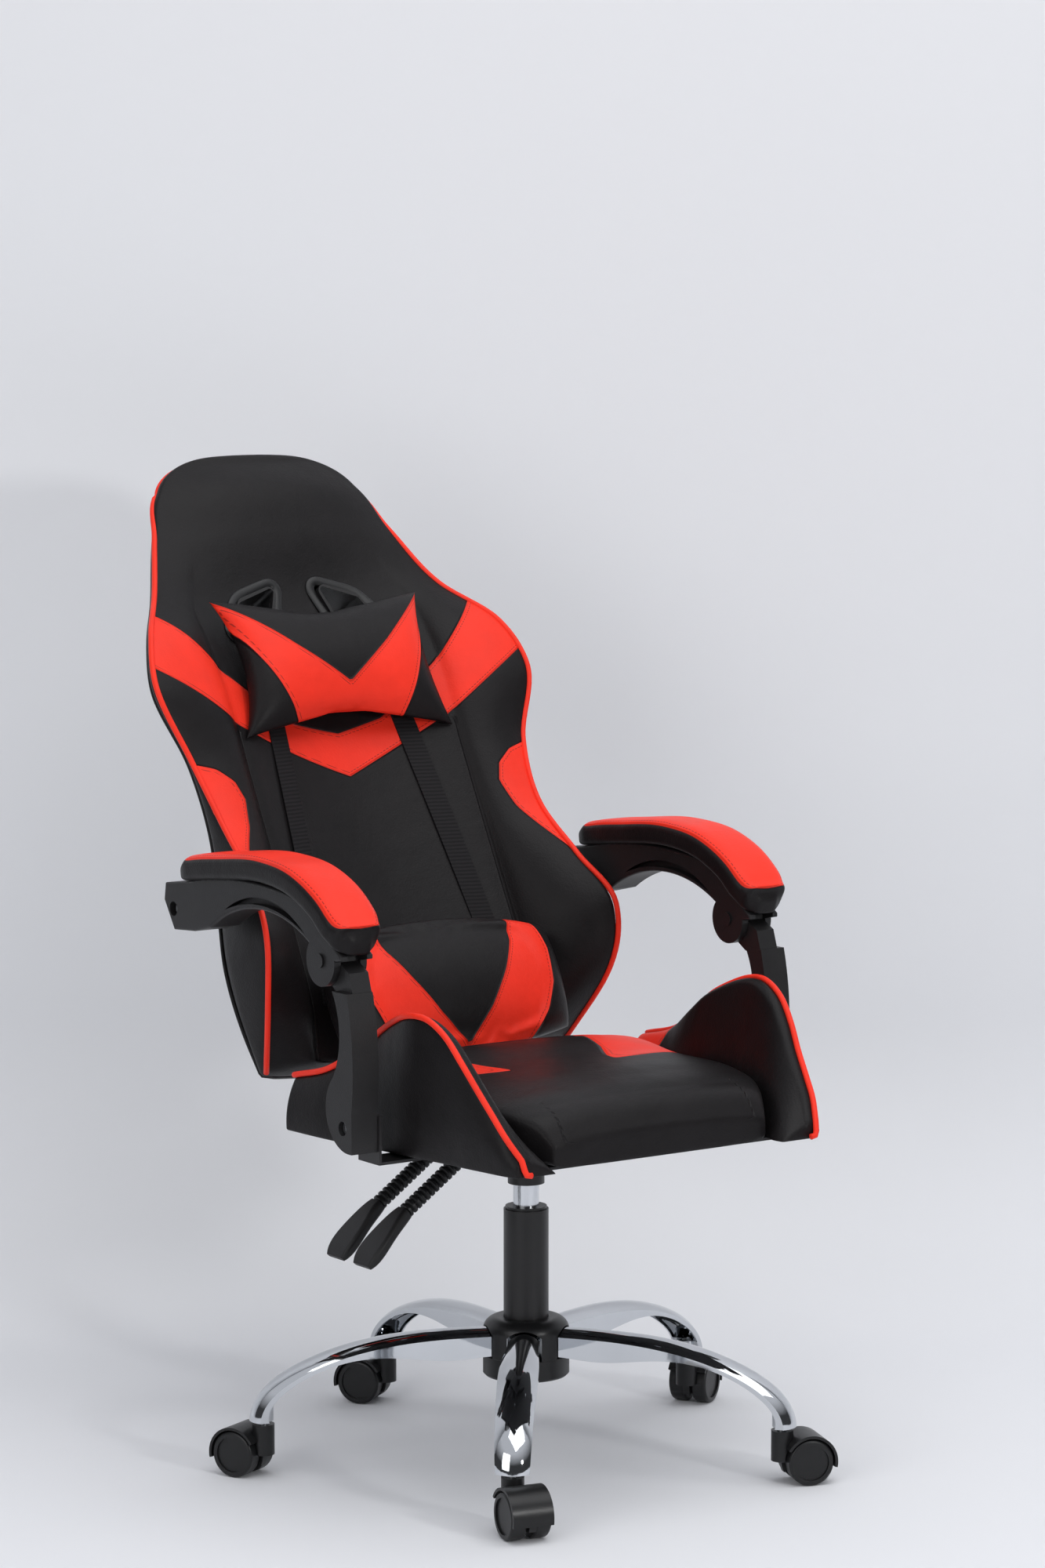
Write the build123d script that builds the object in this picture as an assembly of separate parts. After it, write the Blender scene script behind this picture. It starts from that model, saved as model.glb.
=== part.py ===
from build123d import *
import os
from math import cos, radians, sin

# A reclining racing-style office chair on a five-legged rolling base.
# The origin is on the floor under the swivel axis. The chair faces -Y, so the
# sitter's right hand, and the two levers, are on the -X side. All sizes are in mm.

# Clearances shared by all pieces
RUNNING_GAP = 0.05      # radial play of a pin or shaft that turns or slides
SEATED_GAP = 0.2        # between hard pieces that rest on each other
SOFT_GAP = 0.3          # between a cushion and its neighbour
BOLT_HOLE_GAP = 0.2     # radial play of a bolt in its hole
CUT_PAST = 1.0          # how far a cut runs past the face that it opens

# Casters
LEG_COUNT = 5
FIRST_LEG_ANGLE = 88.3
STEM_CIRCLE_R = 292.0
CASTER_TURNS = (36.0, -46.0, 26.0, 36.0, 15.0)   # where each caster trails, from its own leg
CASTER_TRAIL = 26.0
WHEEL_D = 50.0
WHEEL_W = 18.0
WHEEL_DISH = 2.0
WHEEL_EDGE_R = 3.0
WHEEL_CAP_T = 3.0
WEB_T = 8.0
WEB_GAP = 0.5
AXLE_D = 6.0
HOOD_GAP = 1.5
HOOD_WALL = 3.0
HOOD_LOW_ANGLE = -12.0
HOOD_HIGH_ANGLE = 150.0
STEM_D = 11.0
STEM_BOSS_D = 24.0
STEM_BOSS_RISE = 8.0
STEM_IN_BOSS = 20.0
STEM_SHOW = 4.0

# Legs: a flat run out of the hub, then a quarter ellipse down to the caster
LEG_RISE = 87.0
LEG_FLAT_R = 100.0
LEG_TIP_OVERHANG = 15.0
LEG_WALL = 2.0
LEG_CROWN = 8.0
LEG_ROOT_DEPTH = 31.0
LEG_ROOT_W = 34.0
LEG_ARCH = ((0, 31.0, 36.0), (17, 20.0, 42.0), (34, 13.0, 42.0), (52, 13.0, 40.0), (71, 14.0, 38.0),
            (90, 18.0, 36.0))           # ellipse angle, depth and width of each section
SOCKET_D = 22.0
SOCKET_LEN = 15.0
SOCKET_PLATE_T = 4.0

# Hub
HUB_R = 47.0
HUB_WALL = 3.0
HUB_CORE_R = 29.8
HUB_BELOW_LEG = 24.0
HUB_ABOVE_LEG = 9.0
HUB_SHOULDER = 15.0
HUB_FOOT_CHAMFER = 2.5
HUB_LEG_GAP = 1.0       # round each leg where it leaves the cover
CORE_FOOT_GAP = 1.0
CORE_RISE = 1.0

# Gas lift
TUBE_D = 49.0
TUBE_TAPER = 1.0
TUBE_WALL = 4.0
TUBE_SHOW = 119.0
TUBE_FOOT = 6.0
TUBE_FLOOR = 4.0
BUSH_LEN = 87.0
BUSH_LIP = 3.0
CYLINDER_D = 28.0
CYLINDER_WALL = 2.5
CYLINDER_TAPER = 1.0
CYLINDER_CAP = 14.0
CYLINDER_FOOT = 10.0
CYLINDER_BELOW_BOX = 3.0
ROD_D = 10.0
ROD_FLANGE_D = 24.0
ROD_FLANGE_T = 6.0
PISTON_T = 10.0
PISTON_ABOVE_FOOT = 118.0
CLIP_D = 18.0
CLIP_T = 3.5
NECK_SHOW = 25.0
LIFT_DOWN = 20.0        # how far the seat can still sink from the stored height
LIFT_SPARE = 4.0
BUTTON_D = 8.0
BUTTON_LEN = 23.0
BUTTON_SHOW = 10.0

# Seat mechanism
CONE_LEN = 30.0
CONE_WALL = 6.0
BOX_HALF_X = 55.0
BOX_FRONT_Y = -55.0
BOX_REAR_Y = 72.0
BOX_H = 33.0
BOX_WALL = 3.0
PLATE_T = 3.0
PLATE_HALF_X = 95.0
PLATE_HALF_Y = 100.0
PAN_T = 3.0
PAN_INSET = 16.0
BOLT_D = 8.0
BOLT_HEAD_D = 13.0
BOLT_HEAD_H = 5.0
SEAT_BOLT_X = 80.0
SEAT_BOLT_Y = 82.0

# Recline hinge, under the rear of the seat
HINGE_Y = 85.0
HINGE_DROP = 19.0
HINGE_PIN_D = 10.0
HINGE_BARREL_D = 20.0
HINGE_BARREL_HALF = 31.5
HINGE_EAR_T = 5.0

# Levers
LIFT_LEVER_Y = 0.0
LOCK_LEVER_Y = 52.0
LEVER_PIVOT_X = -42.0
LEVER_PIN_D = 6.0
LEVER_EYE_D = 14.0
LEVER_EYE_W = 12.0
LEVER_ROD_D = 8.0
LEVER_INNER_REACH = 45.0
LEVER_BEND_X = -78.0
LEVER_BEND_R = 14.0
LEVER_SLOPE = 34.7
LEVER_SLOT_H = 18.0
BELLOWS_START = 16.0    # along the sloping rod, from the bend
BELLOWS_RIBS = 12
BELLOWS_PITCH = 6.7
BELLOWS_D = 17.0
BELLOWS_ROOT_D = 12.5
BELLOWS_BORE_D = 9.0
BELLOWS_CREST = (0.3, 0.7)      # shares of the pitch between which a rib is full
BELLOWS_FOOT = 0.98
PADDLE_LEN = 66.0
PADDLE_W = 38.0
PADDLE_SOCKET = 19.0
PADDLE_T = 12.0
# share of the length, of the width and of the thickness
PADDLE_STATIONS = ((0.0, 0.5, 1.1), (0.3, 0.75, 1.1), (0.66, 1.0, 1.0), (0.93, 0.92, 0.8), (1.0, 0.8, 0.45))
PADDLE_DROOP = 14.0

# Seat cushions, by their distance forward (-Y) and the pan's top
SEAT_REAR_Y = 97.0
SEAT_FRONT_Y = -246.0
SEAT_HALF_W = 248.0
SEAT_FRONT_HALF_W = 200.0
CUSHION_HALF_W = 186.0
CUSHION_FRONT_HALF_W = 141.0
CUSHION_H = 66.0
CUSHION_CROWN = 9.0
CUSHION_SIDE_BULGE = 3.0
# share of the way forward, share of the height and of the taper
CUSHION_STATIONS = ((0.0, 0.68, 0.0), (0.12, 0.94, 0.0), (0.42, 1.0, 0.0), (0.72, 0.96, 0.12),
                    (0.88, 0.84, 0.58), (0.97, 0.62, 0.9), (1.0, 0.3, 1.0))
BOLSTER_PEAK_H = 147.0
BOLSTER_PEAK_X = 223.0
BOLSTER_REAR_H = 56.0
BOLSTER_FRONT_OVERHANG = 20.0
BOLSTER_TOP_W = 16.0
BOLSTER_ROLL = 2.0
# shares of the way forward, the rise to the peak, the side's taper, the ridge's lean and the inner taper
BOLSTER_STATIONS = (
    (0.0, 0.0, 0.0, 0.3, 0.0),
    (0.185, 0.1, 0.12, 0.6, 0.0),
    (0.376, 0.6, 0.36, 1.0, 0.0),
    (0.576, 1.0, 0.54, 1.0, 0.0),
    (0.691, 0.93, 0.68, 1.15, 0.1),
    (0.821, 0.44, 0.83, 1.45, 0.5),
    (0.939, -0.15, 0.98, 2.0, 0.95),
    (1.0, -0.5, 1.2, 2.5, 1.0),
)

# Backrest, along its own slope. s runs up the slope, n stands forward of it
BACK_RECLINE = 28.0
BACK_FOOT_Y = 211.0
BACK_FOOT_RISE = 37.0
BACK_LEN = 740.0
BACK_HEAD_S = 590.0
BACK_SEAM_X = 146.0
BACK_SEAM_SHARE = 0.72          # of the half width, where the backrest is narrow
BACK_REAR_N = -34.0
BACK_REAR_EASE = 0.55           # how much of that is lost at the top
BACK_REAR_EASE_FROM = 0.65      # share of the length where it starts to be lost
WING_BULGE_SIDE = 5.4
WING_BULGE_FRONT = 7.2
SHELL_T = 10.0
SHELL_EDGE_T = 7.0
SHELL_EDGE_INSET = 4.0
SHELL_LAP = 2.0         # how far the shell is drawn into the padding before it is fitted
# share of the length, half width, forward reach of the edge, of the edge's rear, of the middle, of the seam
BACK_STATIONS = (
    (0.000, 198.0, 2.0, -12.0, 22.0, 24.0),
    (0.068, 225.0, 83.0, 18.0, 28.0, 44.0),
    (0.155, 231.0, 127.0, 25.0, 28.0, 49.0),
    (0.257, 216.0, 103.0, 20.0, 26.0, 49.0),
    (0.365, 210.0, 69.0, 34.0, 24.0, 49.0),
    (0.473, 221.0, 59.0, 48.0, 22.0, 49.0),
    (0.595, 248.0, 71.0, 57.0, 20.0, 49.0),
    (0.676, 232.0, 62.0, 48.0, 16.0, 40.0),
    (0.764, 191.0, 26.0, 12.0, 12.0, 22.0),
    (0.874, 157.0, 7.0, -6.0, 20.0, 17.0),
    (0.953, 132.0, 1.0, -10.0, 17.0, 12.0),
    (1.000, 93.0, -3.0, -11.0, 3.0, 1.0),
)
BACK_BAR_W = 70.0
BACK_BAR_T = 6.0
BACK_BAR_TOP_S = 175.0
BACK_BOLT_X = 20.0
BACK_BOLT_S = (40.0, 150.0)
BACK_BOLT_GRIP = 7.0    # of its thread in the rear shell

# Strap openings in the head of the backrest
GROMMET_TOP_S = 578.0
GROMMET_H = 84.0
GROMMET_INNER_X = 24.0
GROMMET_TOP_W = 56.0
GROMMET_FOOT_W = 84.0
GROMMET_FALL = 18.0
GROMMET_CORNER_R = 9.0
GROMMET_WALL = 5.0
GROMMET_PROUD = 4.0

# Pillows and their straps
HEAD_PILLOW_S = 461.0
HEAD_PILLOW_N = 52.4
HEAD_PILLOW_W = 284.0
HEAD_PILLOW_H = 166.0
HEAD_PILLOW_WAIST = 132.0
HEAD_PILLOW_FRONT = 34.6
HEAD_PILLOW_REAR = 20.0
# share of the half width, of the ears' extra height, of the front and of the rear thickness
HEAD_PILLOW_STATIONS = ((0.0, 0.0, 1.0, 1.0), (0.6, 0.35, 0.8, 0.8), (1.0, 1.0, 0.14, 0.22))
LUMBAR_S = 50.0
LUMBAR_N = 86.0
LUMBAR_W = 300.0
LUMBAR_H = 150.0
LUMBAR_FRONT = 46.0
LUMBAR_REAR = 57.1
# share of the half width, of the height, of the front and of the rear thickness
LUMBAR_STATIONS = ((0.0, 1.0, 1.0, 1.0), (0.7, 0.97, 0.87, 0.73), (1.0, 0.72, 0.3, 0.25))
STRAP_W = 25.0
STRAP_T = 1.6
STRAP_TOP_S = 470.0
STRAP_FOOT_S = 60.0
STRAP_TOP_X = 78.0
STRAP_FOOT_X = 118.0
STRAP_PROUD = 1.0

# Armrests: a post hinged on the seat, an arm hinged on the post and pinned to the backrest
ARM_OFFSET = 17.0       # from the seat's widest side to the middle of the arm
ARM_W = 40.0
EAR_T = 8.0
EAR_R = 27.0
KNUCKLE_R = 23.0
KNUCKLE_GAP = 0.3
ARM_PIN_D = 10.0
ARM_PIN_HEAD_D = 15.0
ARM_PIN_HEAD_T = 2.0
POST_T = 32.0
POST_FOOT_Y = -77.0
POST_FOOT_RISE = 33.0
ARM_PIVOT_Y = -36.0
ARM_PIVOT_RISE = 203.0
ARM_REACH = 297.0
ARM_EYE_UP = 20.0
ARM_EYE_D = 16.0
ARM_BOSS_D = 22.0
ARM_BOSS_SUNK = 6.0
ARM_POCKET_DEPTH = 9.0
ARM_BRACKET_T = 3.0
ARM_BRACKET_HALF_Y = 20.0
ARM_BRACKET_REACH = 110.0
# the arm's outline as (y, z) from its pivot: top, nose, underside, and its tail from the eye
ARM_TOP = ((276.0, 52.0), (136.0, 67.5), (46.0, 60.0))
ARM_NOSE = ((6.0, 43.0), (-21.0, 21.0), (-40.0, 8.5), (-40.0, 4.0))
ARM_UNDER = ((0.0, -4.0), (20.0, 14.0), (110.0, 39.0), (221.0, 8.0), (256.0, 0.0))
ARM_TAIL = ((0.0, -23.0), (21.0, 8.0), (18.0, 27.0))
ARM_LENS = ((30.0, 24.0), (110.0, 52.0), (190.0, 31.0), (110.0, 44.0))
ARM_EDGE_R = 3.0
FORK_GAP = 2.0          # between the post's knuckle and the arm round it
FORK_REACH = 80.0
# the post's outline as (y, z) from its foot: rear edge downwards, then front edge upwards
POST_REAR = ((19.0, 141.0), (6.0, 106.0), (18.0, 51.0), (30.0, 6.0), (-9.0, -25.0))
POST_FRONT = ((-17.0, -25.0), (-17.0, 17.0), (-20.0, 65.0), (-9.0, 141.0))
POST_NECK_LAP = 4.0
POST_NECK = ((0.0, -20.0), (0.0, 12.0), (-42.0, -9.0))      # from the arm's pivot
HEAD_GAP = 1.0          # round a bolt head in its counterbore
PAD_W = 66.0
PAD_T = 32.0
PAD_FOOT_INSET = 3.0
PAD_SHOULDER_INSET = 2.0
PAD_BULGE_SHARE = 0.42
PAD_SHOULDER_SHARE = 0.78
# place from the pivot, forward direction, shares of the width and of the thickness
PAD_STATIONS = (
    ((276.0, 52.3), (-1, 0.11), 0.74, 0.62),
    ((262.0, 54.0), (-1, 0.11), 0.84, 0.84),
    ((190.0, 62.5), (-1, 0.1), 0.88, 0.9),
    ((105.0, 68.2), (-1, -0.03), 0.95, 0.95),
    ((46.0, 60.4), (-1, -0.28), 1.0, 1.0),
    ((5.0, 42.8), (-1, -0.6), 1.0, 1.0),
    ((-20.5, 21.8), (-1, -0.72), 0.9, 1.0),
    ((-36.0, 11.0), (-1, -0.5), 0.6, 0.8),
    ((-43.0, 8.8), (-1, -0.3), 0.32, 0.5),
)

# Heights that follow from the sizes above
AXLE_Z = WHEEL_D / 2
HOOD_R = WHEEL_D / 2 + HOOD_GAP + HOOD_WALL
STEM_BOSS_TOP = WHEEL_D + STEM_BOSS_RISE
LEG_TIP_Z = STEM_BOSS_TOP + STEM_SHOW
LEG_TOP_Z = LEG_TIP_Z + LEG_RISE
LEG_SPAN = STEM_CIRCLE_R + LEG_TIP_OVERHANG - LEG_FLAT_R
LEG_UNDER_Z = LEG_TOP_Z - LEG_ROOT_DEPTH
HUB_SEAM_Z = LEG_UNDER_Z - HUB_LEG_GAP
HUB_BOTTOM_Z = LEG_UNDER_Z - HUB_BELOW_LEG
HUB_TOP_Z = LEG_TOP_Z + HUB_ABOVE_LEG
CORE_BOTTOM_Z = HUB_BOTTOM_Z + HUB_WALL + CORE_FOOT_GAP
CORE_TOP_Z = LEG_TOP_Z + CORE_RISE
TUBE_TOP_Z = HUB_TOP_Z + TUBE_SHOW
TUBE_BOTTOM_Z = HUB_BOTTOM_Z - TUBE_FOOT
CONE_BOTTOM_Z = TUBE_TOP_Z + BUSH_LIP + NECK_SHOW
BOX_BOTTOM_Z = CONE_BOTTOM_Z + CONE_LEN
PLATE_Z = BOX_BOTTOM_Z + BOX_H
PAN_Z = PLATE_Z + PLATE_T
SEAT_Z = PAN_Z + PAN_T
CUSHION_Z = SEAT_Z + SOFT_GAP
HINGE_Z = PAN_Z - HINGE_DROP
CYLINDER_TOP_Z = BOX_BOTTOM_Z - CYLINDER_BELOW_BOX
LEVER_Z = CYLINDER_TOP_Z + BUTTON_SHOW + SOFT_GAP + LEVER_ROD_D / 2
CYLINDER_BOTTOM_Z = TUBE_BOTTOM_Z + TUBE_FLOOR + ROD_FLANGE_T + LIFT_DOWN + LIFT_SPARE
BACK_FOOT_Z = SEAT_Z + BACK_FOOT_RISE
POST_FOOT_Z = SEAT_Z + POST_FOOT_RISE
ARM_PIVOT_Z = SEAT_Z + ARM_PIVOT_RISE
ARM_EYE_Y = ARM_PIVOT_Y + ARM_REACH
ARM_EYE_Z = ARM_PIVOT_Z + ARM_EYE_UP
ARM_X = SEAT_HALF_W + ARM_OFFSET

nodes = {}


def ring(outer_r, inner_r, low, high):
    """A plain tube about the Z axis."""
    outer = Cylinder(outer_r, high - low, align=(Align.CENTER, Align.CENTER, Align.MIN))
    inner = Cylinder(inner_r, high - low, align=(Align.CENTER, Align.CENTER, Align.MIN))
    return Pos(0, 0, low) * (outer - inner)


def turned(points):
    """A solid of revolution about Z from (radius, height) corners."""
    outline = Polyline([(r, 0, z) for r, z in points], close=True)
    return revolve(make_face(outline), Axis.Z, 360)


def rod_x(radius, low, high, y, z):
    """A round bar along X from low to high."""
    bar = Cylinder(radius, high - low, rotation=(0, 90, 0), align=(Align.CENTER, Align.CENTER, Align.MIN))
    return Pos(low, y, z) * bar


def rod_y(radius, low, high, x, z):
    """A round bar along Y from low to high."""
    bar = Cylinder(radius, high - low, rotation=(-90, 0, 0), align=(Align.CENTER, Align.CENTER, Align.MIN))
    return Pos(x, low, z) * bar


def block(x0, x1, y0, y1, z0, z1):
    """A box between two corners."""
    return Pos((x0 + x1) / 2, (y0 + y1) / 2, (z0 + z1) / 2) * Box(x1 - x0, y1 - y0, z1 - z0)


def side_plate(edges, x0, x1):
    """A plate of the outline drawn in the Y-Z plane, from x0 to x1."""
    face = make_face(edges)
    return Pos(x0, 0, 0) * extrude(face, x1 - x0, dir=(1, 0, 0))


def yz(y, z):
    return (0, y, z)


def mirrored(shape):
    """The same piece on the sitter's other side."""
    return mirror(shape, about=Plane.YZ)


# Casters: hood and web in one moulding, two steel pins, and a pair of wheels
CASTER_W = 2 * (WHEEL_W + WEB_GAP) + WEB_T
BORE_END = CASTER_W / 2 - WHEEL_DISH - WHEEL_CAP_T


def caster_housing():
    inner_r = HOOD_R - HOOD_WALL
    reach = 3 * HOOD_R
    wheel_room = rod_y(inner_r, -CASTER_W, CASTER_W, CASTER_TRAIL, AXLE_Z)
    hood = rod_y(HOOD_R, -CASTER_W / 2, CASTER_W / 2, CASTER_TRAIL, AXLE_Z) - wheel_room
    low = radians(HOOD_LOW_ANGLE)
    high = radians(HOOD_HIGH_ANGLE)
    wedge = Polyline([
        (0, 0, 0),
        (reach * cos(low), 0, reach * sin(low)),
        (reach, 0, reach),
        (-reach, 0, reach),
        (reach * cos(high), 0, reach * sin(high)),
    ], close=True)
    hood &= Pos(CASTER_TRAIL, 0, AXLE_Z) * extrude(make_face(wedge), CASTER_W, both=True)
    web = rod_y(inner_r + HOOD_WALL / 2, -WEB_T / 2, WEB_T / 2, CASTER_TRAIL, AXLE_Z)
    web &= block(-reach, reach, -CASTER_W, CASTER_W, AXLE_Z / 2, 2 * WHEEL_D)
    boss = ring(STEM_BOSS_D / 2, 0, AXLE_Z, STEM_BOSS_TOP) - wheel_room
    body = hood + web + boss
    body -= rod_y(AXLE_D / 2 + RUNNING_GAP, -CASTER_W, CASTER_W, CASTER_TRAIL, AXLE_Z)
    body -= ring(STEM_D / 2 + RUNNING_GAP, 0, STEM_BOSS_TOP - STEM_IN_BOSS, STEM_BOSS_TOP + CUT_PAST)
    return body


def caster_pins():
    axle = rod_y(AXLE_D / 2, SEATED_GAP - BORE_END, BORE_END - SEATED_GAP, CASTER_TRAIL, AXLE_Z)
    stem = ring(STEM_D / 2, 0, STEM_BOSS_TOP - STEM_IN_BOSS + SEATED_GAP, LEG_TIP_Z + SOCKET_LEN - SEATED_GAP)
    return [axle, stem]


def caster_wheels():
    pair = []
    for side in (-1, 1):
        near = side * (WEB_T / 2 + WEB_GAP)
        outer = side * CASTER_W / 2
        wheel = rod_y(WHEEL_D / 2, *sorted((near, outer)), CASTER_TRAIL, AXLE_Z)
        wheel = fillet(wheel.edges().filter_by(GeomType.CIRCLE), WHEEL_EDGE_R)
        dish = sorted((outer, outer - side * WHEEL_DISH))
        wheel -= rod_y(WHEEL_D / 2 - 2 * WHEEL_EDGE_R, *dish, CASTER_TRAIL, AXLE_Z)
        bore = sorted((0, side * BORE_END))
        wheel -= rod_y(AXLE_D / 2 + RUNNING_GAP, *bore, CASTER_TRAIL, AXLE_Z)
        pair.append(wheel)
    return pair


# Legs: pressed-steel channels, open underneath, with a socket for the caster stem
def leg_section(at, along, width, depth, sunk=0):
    """An inverted U's outside, or its hollow when sunk by the wall."""
    half = width / 2
    foot = -depth - sunk
    outline = [
        Line((-half, foot), (half, foot)),
        Line((half, foot), (half, -LEG_CROWN - sunk)),
        ThreePointArc((half, -LEG_CROWN - sunk), (0, -sunk), (-half, -LEG_CROWN - sunk)),
        Line((-half, -LEG_CROWN - sunk), (-half, foot)),
    ]
    return Plane(origin=at, x_dir=(0, 1, 0), z_dir=along) * make_face(outline)


def leg_stations():
    root = HUB_CORE_R + SEATED_GAP
    stations = []
    for r in (root, (root + LEG_FLAT_R) / 2):
        stations.append(((r, 0, LEG_TOP_Z), (1, 0, 0), LEG_ROOT_W, LEG_ROOT_DEPTH))
    for angle, depth, width in LEG_ARCH:
        turn = radians(angle)
        at = (LEG_FLAT_R + LEG_SPAN * sin(turn), 0, LEG_TIP_Z + LEG_RISE * cos(turn))
        along = (LEG_SPAN * cos(turn), 0, -LEG_RISE * sin(turn))
        stations.append((at, along, width, depth))
    return stations


def leg():
    stations = leg_stations()
    outside = loft([leg_section(*station) for station in stations])
    hollow = []
    for index, (at, along, width, depth) in enumerate(stations):
        past = {0: -CUT_PAST, len(stations) - 1: CUT_PAST}.get(index, 0)
        centre = Vector(*at) + Vector(*along).normalized() * past
        hollow.append(leg_section(centre, along, width - 2 * LEG_WALL, depth, LEG_WALL))
    body = outside - loft(hollow)
    tip_high = LEG_TIP_Z + SOCKET_LEN
    tip_half = LEG_ARCH[-1][2] / 2 - LEG_WALL / 2
    body += Pos(STEM_CIRCLE_R, 0, 0) * ring(SOCKET_D / 2, 0, LEG_TIP_Z, tip_high)
    body += block(STEM_CIRCLE_R - SOCKET_PLATE_T / 2, STEM_CIRCLE_R + SOCKET_PLATE_T / 2,
                  -tip_half, tip_half, LEG_TIP_Z, tip_high)
    bore = ring(STEM_D / 2 + RUNNING_GAP, 0, LEG_TIP_Z - CUT_PAST, tip_high + CUT_PAST)
    return body - Pos(STEM_CIRCLE_R, 0, 0) * bore


# Hub: a steel core that the legs are welded to, in a two-part plastic cover
def tube_radius(z):
    """Outside of the gas tube, which tapers where it sits in the hub."""
    share = (CORE_TOP_Z - z) / (CORE_TOP_Z - TUBE_BOTTOM_Z)
    return TUBE_D / 2 - TUBE_TAPER * max(share, 0)


def hub_core():
    low = tube_radius(CORE_BOTTOM_Z) + SEATED_GAP
    high = tube_radius(CORE_TOP_Z) + SEATED_GAP
    return turned([(low, CORE_BOTTOM_Z), (HUB_CORE_R, CORE_BOTTOM_Z), (HUB_CORE_R, CORE_TOP_Z),
                   (high, CORE_TOP_Z)])


def hub_cover_upper():
    outside = ring(HUB_R, 0, HUB_SEAM_Z, HUB_TOP_Z)
    outside = fillet(outside.edges().sort_by(Axis.Z)[-1], HUB_SHOULDER)
    inside = ring(HUB_R - HUB_WALL, 0, HUB_SEAM_Z, HUB_TOP_Z - HUB_WALL)
    inside = fillet(inside.edges().sort_by(Axis.Z)[-1], HUB_SHOULDER - HUB_WALL)
    cover = outside - inside
    cover -= ring(TUBE_D / 2 + SOFT_GAP, 0, HUB_TOP_Z - 2 * HUB_WALL, HUB_TOP_Z + CUT_PAST)
    start = (TUBE_D / 2, 0, LEG_TOP_Z + HUB_LEG_GAP)
    notch = extrude(leg_section(start, (1, 0, 0), LEG_ARCH[0][2] + 2 * HUB_LEG_GAP, 2 * LEG_ROOT_DEPTH), HUB_R)
    for index in range(LEG_COUNT):
        cover -= Rot(0, 0, FIRST_LEG_ANGLE + 360 / LEG_COUNT * index) * notch
    return cover


def hub_cover_lower():
    outside = ring(HUB_R, 0, HUB_BOTTOM_Z, HUB_SEAM_Z - SEATED_GAP)
    outside = chamfer(outside.edges().sort_by(Axis.Z)[0], HUB_FOOT_CHAMFER)
    cover = outside - ring(HUB_R - HUB_WALL, 0, HUB_BOTTOM_Z + HUB_WALL, HUB_SEAM_Z)
    return cover - ring(tube_radius(HUB_BOTTOM_Z) + SOFT_GAP, 0, HUB_BOTTOM_Z - CUT_PAST, HUB_SEAM_Z)


# Gas lift: tube and bush in the base, a rod that turns in it, a cylinder under the seat
def gas_tube():
    outer = TUBE_D / 2
    hole = ROD_D / 2 + RUNNING_GAP
    floor = TUBE_BOTTOM_Z + TUBE_FLOOR
    return turned([(hole, TUBE_BOTTOM_Z), (tube_radius(TUBE_BOTTOM_Z), TUBE_BOTTOM_Z), (outer, CORE_TOP_Z),
                   (outer, TUBE_TOP_Z), (outer - TUBE_WALL, TUBE_TOP_Z), (outer - TUBE_WALL, floor),
                   (hole, floor)])


def guide_bush():
    bore = CYLINDER_D / 2 + RUNNING_GAP
    skirt = TUBE_D / 2 - TUBE_WALL - SEATED_GAP
    lip = TUBE_D / 2 - TUBE_WALL / 2
    return turned([(bore, TUBE_TOP_Z - BUSH_LEN), (skirt, TUBE_TOP_Z - BUSH_LEN), (skirt, TUBE_TOP_Z),
                   (lip, TUBE_TOP_Z), (lip, TUBE_TOP_Z + BUSH_LIP), (bore, TUBE_TOP_Z + BUSH_LIP)])


def piston_rod():
    shaft = ROD_D / 2
    piston = CYLINDER_D / 2 - CYLINDER_WALL - RUNNING_GAP
    flange = TUBE_BOTTOM_Z + TUBE_FLOOR + SEATED_GAP
    foot = TUBE_BOTTOM_Z - 2 * SEATED_GAP - CLIP_T
    piston_z = CYLINDER_BOTTOM_Z + PISTON_ABOVE_FOOT
    return turned([(0, foot), (shaft, foot), (shaft, flange), (ROD_FLANGE_D / 2, flange),
                   (ROD_FLANGE_D / 2, flange + ROD_FLANGE_T), (shaft, flange + ROD_FLANGE_T), (shaft, piston_z),
                   (piston, piston_z), (piston, piston_z + PISTON_T), (0, piston_z + PISTON_T)])


def rod_clip():
    high = TUBE_BOTTOM_Z - SEATED_GAP
    return ring(CLIP_D / 2, ROD_D / 2 + RUNNING_GAP, high - CLIP_T, high)


def cylinder_radius(z):
    """Outside of the cylinder, which tapers into the mechanism's cone."""
    share = (z - CONE_BOTTOM_Z) / (CYLINDER_TOP_Z - CONE_BOTTOM_Z)
    return CYLINDER_D / 2 - CYLINDER_TAPER * max(share, 0)


def gas_cylinder():
    bore = CYLINDER_D / 2 - CYLINDER_WALL
    rod_hole = ROD_D / 2 + RUNNING_GAP
    button_hole = BUTTON_D / 2 + RUNNING_GAP
    cap = CYLINDER_TOP_Z - CYLINDER_CAP
    foot = CYLINDER_BOTTOM_Z + CYLINDER_FOOT
    return turned([(rod_hole, CYLINDER_BOTTOM_Z), (CYLINDER_D / 2, CYLINDER_BOTTOM_Z),
                   (CYLINDER_D / 2, CONE_BOTTOM_Z), (cylinder_radius(CYLINDER_TOP_Z), CYLINDER_TOP_Z),
                   (button_hole, CYLINDER_TOP_Z), (button_hole, cap), (bore, cap), (bore, foot),
                   (rod_hole, foot)])


def release_button():
    high = CYLINDER_TOP_Z + BUTTON_SHOW
    return ring(BUTTON_D / 2, 0, high - BUTTON_LEN, high)


# Seat mechanism: a steel box with the cylinder's cone, the levers' pin and the hinge ears
def bolt_places():
    return [(x, y) for x in (-SEAT_BOLT_X, SEAT_BOLT_X) for y in (-SEAT_BOLT_Y, SEAT_BOLT_Y)]


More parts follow.
